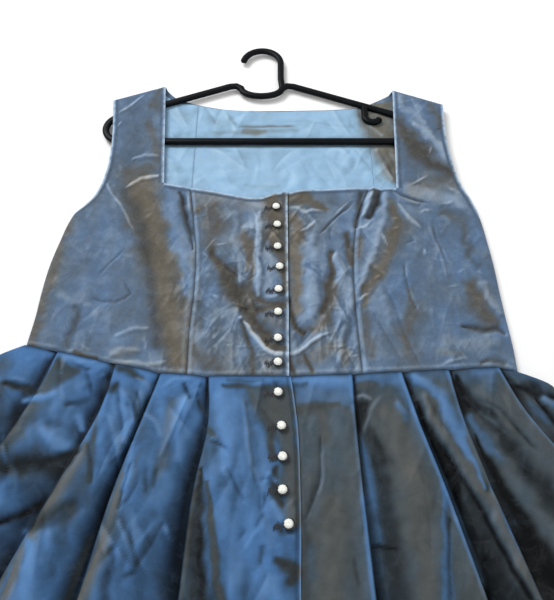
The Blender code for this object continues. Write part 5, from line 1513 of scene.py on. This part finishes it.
def hanger_paths():
    """The hanger's four rods as (x, up) points: the closed frame, the hook, the scarf hooks."""
    end_radius = (ARM_END_UP - BAR_UP) / 2
    end_x = HANGER_HALF_WIDTH - end_radius
    right = arc(end_x, BAR_UP + end_radius, end_radius, end_radius, -90, 72, 22)
    shoulder = [(DIP_HALF_WIDTH + 0.010, DIP_TOP_UP - 0.002), (DIP_HALF_WIDTH + 0.002, DIP_TOP_UP - 0.001)]
    dip = arc(0, DIP_TOP_UP - 0.006, DIP_HALF_WIDTH - 0.005, DIP_TOP_UP - 0.006 - DIP_BOTTOM_UP, 0, -180, 28)
    half = right + shoulder + dip[: len(dip) // 2 + 1]
    whole = half + [(-x, up) for x, up in reversed(half[:-1])]
    paths = [([(HANGER_X + x, up) for x, up in whole], True)]
    stem_x = HANGER_X + HOOK_RADIUS
    hook = [(stem_x + 0.002, DIP_TOP_UP - 0.006), (stem_x, DIP_TOP_UP + 0.012)]
    hook += arc(HANGER_X, HOOK_CENTRE_UP, HOOK_RADIUS, HOOK_RADIUS, 0, HOOK_TIP_ANGLE, 32)
    paths.append((hook, False))
    slope = (DIP_TOP_UP - ARM_END_UP) / (HANGER_HALF_WIDTH - DIP_HALF_WIDTH)
    arm_up = DIP_TOP_UP - slope * (SCARF_HOOK_X - DIP_HALF_WIDTH)
    bottom = arm_up - SCARF_HOOK_DROP + SCARF_HOOK_RADIUS
    for sign in (-1, 1):
        scarf = [(SCARF_HOOK_X, arm_up - ROD_WIDTH * 0.45), (SCARF_HOOK_X, (arm_up + bottom) / 2)]
        centre_x = SCARF_HOOK_X + SCARF_HOOK_RADIUS
        scarf += arc(centre_x, bottom, SCARF_HOOK_RADIUS, SCARF_HOOK_RADIUS, 180, 330, 16)
        paths.append(([(HANGER_X + sign * x, up) for x, up in scarf], False))
    return paths


def capped(rings, sides, closed=False):
    """Quads between each ring of points and the next, and flat ends unless it is closed."""
    faces = []
    for i in range(rings if closed else rings - 1):
        a, b = i * sides, (i + 1) % rings * sides
        faces += [[a + k, a + (k + 1) % sides, b + (k + 1) % sides, b + k] for k in range(sides)]
    if not closed:
        faces += [list(range(sides))[::-1], [(rings - 1) * sides + k for k in range(sides)]]
    return faces


# A rod's domed end. Columns: how far past its end in rod widths, share of its width.
DOME = ((0.18, 0.6), (0.10, 0.9))


def tube(path, closed, width, height, sides=20, squareness=2.6):
    """A rod with a rounded-square section along a path of points, with domed ends."""
    path = [Vector(p) for p in path]
    count = len(path)
    vertices = []

    def ring(centre, sideways, scale):
        for k in range(sides):
            angle = 2 * math.pi * k / sides
            c, s = math.cos(angle), math.sin(angle)
            across = math.copysign(abs(c) ** (2 / squareness), c) * width / 2 * scale
            high = math.copysign(abs(s) ** (2 / squareness), s) * height / 2 * scale
            vertices.append(centre + sideways * across + Vector((0, 0, high)))

    for i, point in enumerate(path):
        before = path[(i - 1) % count] if closed or i else point
        after = path[(i + 1) % count] if closed or i < count - 1 else point
        forward = (after - before).normalized()
        sideways = Vector((-forward.y, forward.x, 0.0))
        if not closed and i == 0:
            for past, share in DOME:
                ring(point - forward * width * past, sideways, share)
        ring(point, sideways, 1.0)
        if not closed and i == count - 1:
            for past, share in reversed(DOME):
                ring(point + forward * width * past, sideways, share)
    return vertices, capped(len(vertices) // sides, sides, closed)


def joined(name, parts, finish, smooth_angle=50):
    """One object from several (vertices, faces) parts, its faces turned to point out."""
    vertices, faces = [], []
    for part_vertices, part_faces in parts:
        first = len(vertices)
        volume = 0.0
        for face in part_faces:
            corners = [Vector(part_vertices[i]) for i in face]
            for i in range(1, len(corners) - 1):
                volume += corners[0].dot(corners[i].cross(corners[i + 1]))
        order = 1 if volume > 0 else -1
        vertices += [tuple(v) for v in part_vertices]
        faces += [[first + i for i in face][::order] for face in part_faces]
    mesh = bpy.data.meshes.new(name)
    mesh.from_pydata(vertices, [], faces)
    return finished(name, mesh, finish, smooth_angle)


def add_hanger(finish):
    """The whole hanger, one moulding."""
    parts = []
    for path, closed in hanger_paths():
        points = [(x, up + WAIST_Y, HANGER_MID) for x, up in path]
        parts.append(tube(points, closed, ROD_WIDTH, ROD_HEIGHT))
    nodes = ["hanger", "scarf_hook_left", "scarf_hook_right"]
    placed(joined("moulded_hanger", parts, finish), nodes)


def circle(centre, radius, height, sides, turn=0.0):
    """Points round a circle about +Z."""
    x, y, z = centre
    angles = [turn + 2 * math.pi * k / sides for k in range(sides)]
    return [(x + radius * math.cos(a), y + radius * math.sin(a), z + height) for a in angles]


def turned_solid(centre, profile, sides):
    """A round solid about +Z from (radius, height) rings, its ends closed."""
    vertices = []
    for radius, height in profile:
        vertices += circle(centre, radius, height, sides)
    return vertices, capped(len(profile), sides)


def faceted_stone(centre, radius, height, sides=10):
    """A cut stone: rows of facets staggered round a flat table."""
    vertices, faces = [], []
    for ring, (share, level) in enumerate(STONE_ROWS):
        vertices += circle(centre, radius * share, height * level, sides, math.pi / sides * (ring % 2))
    for ring in range(len(STONE_ROWS) - 1):
        for k in range(sides):
            n = (k + 1) % sides
            a, b = ring * sides, (ring + 1) * sides
            if ring % 2:
                faces += [[a + k, a + n, b + n], [a + k, b + n, b + k]]
            else:
                faces += [[a + k, a + n, b + k], [a + n, b + n, b + k]]
    return vertices, faces + capped(len(STONE_ROWS), sides)[-2:]


def surface_tree(names):
    """The surfaces of several objects, to drop points on."""
    vertices, faces = [], []
    for name in names:
        mesh = bpy.data.objects[name].data
        first = len(vertices)
        vertices += [v.co.copy() for v in mesh.vertices]
        faces += [[first + i for i in p.vertices] for p in mesh.polygons]
    return BVHTree.FromPolygons(vertices, faces)


def top_of(tree, x, y):
    """The height of the cloth at a place."""
    return tree.ray_cast(Vector((x, y, 1.0)), Vector((0, 0, -1)))[0].z


def metal_cup(x, y, foot, radius, number):
    """A button's cup, and the claws that hold its stone, turned a little from one to the next."""
    parts = [turned_solid((x, y, foot), [(radius * share, height) for share, height in CUP_PROFILE], 28)]
    claw_turn = math.radians(38 + 9 * math.sin(number * 2.1))
    for turn in CLAW_TURNS:
        reach, angle = radius * CLAW_SHARE, claw_turn + turn
        claw = (x + reach * math.cos(angle), y + reach * math.sin(angle), foot + SEAT_HEIGHT)
        parts.append(turned_solid(claw, CLAW_PROFILE, 8))
    return parts


def buttonhole(tree, x, y, number):
    """Uneven stitches to both sides of a slit that runs left from the button's edge at x."""
    threads = []
    for k in range(THREAD_COUNT):
        along = x - 0.0003 - THREAD_STEP * k
        middle_y = y - 0.0012 + 0.0010 * math.sin(number * 1.7 + k * 0.8)
        for side in SIGN.values():
            reach = side * (0.0021 + 0.0014 * math.sin(number * 2.3 + k * (2.2 + 0.4 * side)))
            ends = []
            for part in (0.08, 0.55, 1.0):
                tx = along + 0.0005 * side * part + 0.0004 * math.sin(k * 3.1 + part * 3)
                ty = middle_y + reach * part
                ends.append((tx, ty, top_of(tree, tx, ty) + THREAD_LIFT))
            threads.append(tube(ends, False, THREAD_WIDTH, THREAD_HEIGHT, sides=5, squareness=2))
    return threads


def add_buttons(stone_finish, cup_finish, thread_finish):
    """Each button: a dark metal cup with claws, a white cut stone, and its buttonhole."""
    tree = surface_tree(["velvet_front_centre_left", "taffeta_skirt_front_left"])
    for number in range(1, BUTTON_COUNT + 1):
        name = f"button_{number:02d}"
        low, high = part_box(name)
        x, y = (low.x + high.x) / 2, (low.y + high.y) / 2
        radius = (high.x - low.x) / 2
        foot = max(top_of(tree, x, y), low.z) + BUTTON_LIFT
        placed(joined(f"{name}_cup", metal_cup(x, y, foot, radius, number), cup_finish))
        lean = 1.3 + 0.5 * math.sin(number * 1.9)
        seat = (x - 0.0005 * math.sin(lean), y + 0.0004 * math.cos(lean * 0.5), foot + SEAT_HEIGHT)
        cut = faceted_stone(seat, radius * STONE_SHARE, STONE_HEIGHT)
        placed(joined(f"{name}_stone", [cut], stone_finish, 5), [name])
        threads = buttonhole(tree, x - radius, y, number)
        placed(joined(f"{name}_hole", threads, thread_finish))


# ------------------------------------------------------------------ materials


class Nodes:
    """A material's node tree, with short calls to add and join nodes."""

    def __init__(self, name, roughness, **sockets):
        self.material = bpy.data.materials.new(name)
        self.material.use_nodes = True
        self.tree = self.material.node_tree
        self.shader = self.tree.nodes["Principled BSDF"]
        self.shader.inputs["Roughness"].default_value = roughness
        for socket, value in sockets.items():
            self.shader.inputs[socket.replace("_", " ")].default_value = value
        self.place = self.add("ShaderNodeTexCoord").outputs["Object"]

    def add(self, kind, settings=(), **values):
        node = self.tree.nodes.new(kind)
        for key, value in dict(settings).items():
            setattr(node, key, value)
        for key, value in values.items():
            socket = node.inputs[int(key[1:])] if key[0] == "i" and key[1:].isdigit() else node.inputs[key]
            if isinstance(value, bpy.types.NodeSocket):
                self.tree.links.new(value, socket)
            else:
                socket.default_value = value
        return node

    def noise(self, scale, detail=3.0, roughness=0.55, distortion=0.0):
        values = {"Scale": scale, "Detail": detail, "Roughness": roughness, "Distortion": distortion}
        node = self.add("ShaderNodeTexNoise", **values)
        self.tree.links.new(self.place, node.inputs["Vector"])
        return node.outputs["Fac"]

    def weave(self, scale):
        """Threads along X and Y, added together."""
        threads = []
        for direction in ("X", "Y"):
            node = self.add("ShaderNodeTexWave", {"bands_direction": direction}, Scale=scale, Detail=1.0)
            self.tree.links.new(self.place, node.inputs["Vector"])
            threads.append(node.outputs["Fac"])
        return self.maths("ADD", *threads)

    def attribute(self, name):
        return self.add("ShaderNodeAttribute", {"attribute_name": name}).outputs["Fac"]

    def maths(self, operation, a, b, clamp=False):
        settings = {"operation": operation, "use_clamp": clamp}
        return self.add("ShaderNodeMath", settings, i0=a, i1=b).outputs[0]

    def swing(self, noise, amount, middle=0.5, clamp=False):
        """How far a noise lies over or under a middle level, times an amount."""
        return self.maths("MULTIPLY", self.maths("SUBTRACT", noise, middle), amount, clamp)

    def ramp(self, fac, stops):
        node = self.add("ShaderNodeValToRGB", Fac=fac)
        elements = node.color_ramp.elements
        while len(elements) < len(stops):
            elements.new(0.5)
        for element, (position, colour) in zip(elements, stops):
            element.position = position
            element.color = (*colour, 1)
        return node.outputs["Color"]

    def mix(self, fac, a, b):
        node = self.add("ShaderNodeMix", {"data_type": "RGBA"})
        for socket, value in ((node.inputs[0], fac), (node.inputs[6], a), (node.inputs[7], b)):
            if isinstance(value, bpy.types.NodeSocket):
                self.tree.links.new(value, socket)
            else:
                socket.default_value = (*value, 1) if isinstance(value, tuple) else value
        return node.outputs[2]

    def mottled(self, base, light, shadow, noise, deep, high):
        """The base brought towards shadow and light by its painted shade and highlights, in the dark and
        pale attributes, and by a noise.
        """
        base = self.mix(self.swing(noise, -deep, clamp=True), base, shadow)
        base = self.mix(self.attribute("dark"), base, shadow)
        lighter = self.swing(noise, high, clamp=True)
        return self.mix(self.maths("ADD", lighter, self.attribute("pale"), True), base, light)

    def bump(self, height, strength, distance):
        node = self.add("ShaderNodeBump", Height=height, Strength=strength, Distance=distance)
        self.tree.links.new(node.outputs["Normal"], self.shader.inputs["Normal"])

    def colour(self, value):
        self.tree.links.new(value, self.shader.inputs["Base Color"])
        return self.material


def velvet_material():
    """Crushed cotton velvet that turns from blue to taupe with its nap."""
    sheen = {"Sheen_Weight": 0.16, "Sheen_Roughness": 0.45, "Sheen_Tint": (0.62, 0.74, 0.90, 1)}
    made = Nodes("velvet", 0.85, Specular_IOR_Level=0.25, **sheen)
    tone = made.maths("ADD", made.attribute("tone"), made.swing(made.noise(40, 8, 0.68, 1.0), 0.36))
    tone = made.maths("ADD", tone, made.swing(made.noise(420, 6, 0.72), 0.30), True)
    base = made.ramp(tone, (
        (0.00, (0.084, 0.150, 0.268)), (0.28, (0.079, 0.124, 0.190)),
        (0.52, (0.082, 0.102, 0.124)), (0.78, (0.088, 0.084, 0.074)), (1.00, (0.104, 0.092, 0.070)),
    ))
    # The colour of the crushed lines and the painted highlights.
    crushed = made.ramp(tone, (
        (0.0, (0.42, 0.56, 0.72)), (0.6, (0.44, 0.48, 0.52)), (1.0, (0.44, 0.41, 0.37)),
    ))
    # The near-black is the colour of the painted shade.
    base = made.mottled(base, crushed, (0.010, 0.011, 0.012), made.noise(55, 8, 0.72, 0.6), 0.9, 0.45)
    base = made.mix(made.swing(made.noise(800, 4, 0.7), 0.9, 0.56, True), base, crushed)
    pile = made.maths("ADD", made.noise(1500, 2), made.maths("MULTIPLY", made.noise(260, 5, 0.65), 1.4))
    made.bump(pile, 0.45, 0.0007)
    return made.colour(base)


def taffeta_material():
    """Shot taffeta, blue one way and brown the other, with a fine weave and crinkles."""
    made = Nodes("taffeta", 0.50, Sheen_Weight=0.0, Specular_IOR_Level=0.08)
    tone = made.maths("ADD", made.attribute("tone"), made.swing(made.noise(26, 7, 0.66, 1.0), 0.30), True)
    base = made.ramp(tone, (
        (0.00, (0.058, 0.156, 0.350)), (0.32, (0.044, 0.106, 0.216)),
        (0.60, (0.045, 0.070, 0.092)), (1.00, (0.065, 0.070, 0.066)),
    ))
    # The colour of the painted highlights.
    crushed = made.ramp(tone, (
        (0.0, (0.145, 0.300, 0.560)), (0.6, (0.185, 0.240, 0.320)), (1.0, (0.180, 0.180, 0.170)),
    ))
    weave = made.weave(560)
    base = made.mix(made.maths("MULTIPLY", weave, 0.04), base, (0.12, 0.20, 0.30))
    shadow = (0.0006, 0.0012, 0.0020)
    base = made.mottled(base, crushed, shadow, made.noise(70, 8, 0.70, 0.6), 0.9, 0.45)
    crinkle = made.maths("MULTIPLY", made.noise(90, 6, 0.62, 0.8), 2.2)
    made.bump(made.maths("ADD", crinkle, made.maths("MULTIPLY", weave, 0.25)), 0.35, 0.0009)
    return made.colour(base)


def lining_material():
    """Plain light blue lining."""
    made = Nodes("lining", 0.60, Sheen_Weight=0.05, Sheen_Roughness=0.4, Specular_IOR_Level=0.25)
    tone = made.maths("ADD", made.attribute("tone"), made.swing(made.noise(26, 6, 0.6, 0.8), 0.35), True)
    # The ramp's brown end is painted shade, for the lining's folds that lie in shade.
    base = made.ramp(tone, (
        (0.00, (0.262, 0.445, 0.640)), (0.35, (0.225, 0.365, 0.495)),
        (0.65, (0.165, 0.215, 0.250)), (1.00, (0.150, 0.140, 0.108)),
    ))
    light, shadow = (0.55, 0.70, 0.82), (0.03, 0.04, 0.05)
    base = made.mottled(base, light, shadow, made.noise(60, 8, 0.66, 0.6), 0.35, 0.4)
    crinkle = made.noise(120, 5, 0.62)
    made.bump(made.maths("ADD", crinkle, made.maths("MULTIPLY", made.weave(760), 0.2)), 0.30, 0.0007)
    return made.colour(base)


def plain_material(name, roughness, noise, stops, bump=None, **sockets):
    """A finish of two colours mixed by one noise, with a fine bump by another."""
    made = Nodes(name, roughness, **sockets)
    base = made.ramp(made.noise(*noise), stops)
    if bump:
        scale, strength, distance = bump
        made.bump(made.noise(scale, 2), strength, distance)
    return made.colour(base)


# Columns: name, roughness, the noise's scale and detail, the colours where it is low and
# high, and a bump's scale, strength and distance.
PLASTIC = (
    "black_plastic", 0.38, (60, 3),
    ((0.3, (0.001, 0.002, 0.003)), (0.8, (0.004, 0.006, 0.008))), (900, 0.12, 0.0002),
)
STONE = ("crystal", 0.12, (420, 2), ((0.30, (0.66, 0.68, 0.64)), (0.62, (0.90, 0.90, 0.84))))
CUP = (
    "button_metal", 0.42, (700, 3),
    ((0.3, (0.030, 0.030, 0.032)), (0.8, (0.10, 0.10, 0.10))), (1400, 0.2, 0.0002),
)
THREAD = ("thread", 0.8, (1200, 2), ((0.3, (0.012, 0.013, 0.016)), (0.7, (0.045, 0.048, 0.055))))
FLOOR = ("floor", 0.9, (3, 2), ((0.3, (0.90, 0.90, 0.90)), (0.7, (0.93, 0.93, 0.93))))


# ------------------------------------------------------------------ floor and lights


FLOOR_HALF = 6.0
FLOOR_BELOW = 0.0002
LIGHTS_AIM = Vector((0, 0.1, 0))
# Columns: name, place, diameter, power.
LIGHTS = (
    ("key", (-1.1, 1.5, 1.9), 1.2, 44),
    ("fill", (1.6, -1.2, 2.4), 2.5, 16),
)
WORLD_STRENGTH = 0.62


def add_floor():
    mesh = bpy.data.meshes.new("floor")
    signs = ((-1, -1), (1, -1), (1, 1), (-1, 1))
    corners = [(x * FLOOR_HALF, y * FLOOR_HALF, -FLOOR_BELOW) for x, y in signs]
    mesh.from_pydata(corners, [], [[0, 1, 2, 3]])
    mesh.materials.append(plain_material(*FLOOR))
    linked("floor", mesh)


def add_lights():
    """A large key light past the shoulders, a soft fill from the hem, and a bright studio."""
    for name, place, diameter, power in LIGHTS:
        data = bpy.data.lights.new(name, "AREA")
        data.shape = "DISK"
        data.size = diameter
        data.energy = power
        light = linked(name, data)
        light.location = place
        light.rotation_euler = (LIGHTS_AIM - Vector(place)).to_track_quat("-Z", "Y").to_euler()
    world = bpy.data.worlds.new("studio")
    world.use_nodes = True
    background = world.node_tree.nodes["Background"]
    background.inputs["Color"].default_value = (1, 1, 1, 1)
    background.inputs["Strength"].default_value = WORLD_STRENGTH
    bpy.context.scene.world = world
    bpy.context.scene.view_settings.view_transform = "Standard"


def main():
    add_camera()
    add_floor()
    add_lights()
    velvet, taffeta, lining = velvet_material(), taffeta_material(), lining_material()
    add_skirt_back(taffeta)
    add_back(velvet)
    add_lining(lining)
    add_front_centres(velvet)
    add_front_sides(velvet)
    add_skirt_fronts(taffeta)
    add_hanger(plain_material(*PLASTIC, Specular_IOR_Level=0.10))
    stone = plain_material(*STONE, Coat_Weight=0.6, Coat_Roughness=0.05)
    add_buttons(stone, plain_material(*CUP, Metallic=0.85), plain_material(*THREAD))


main()
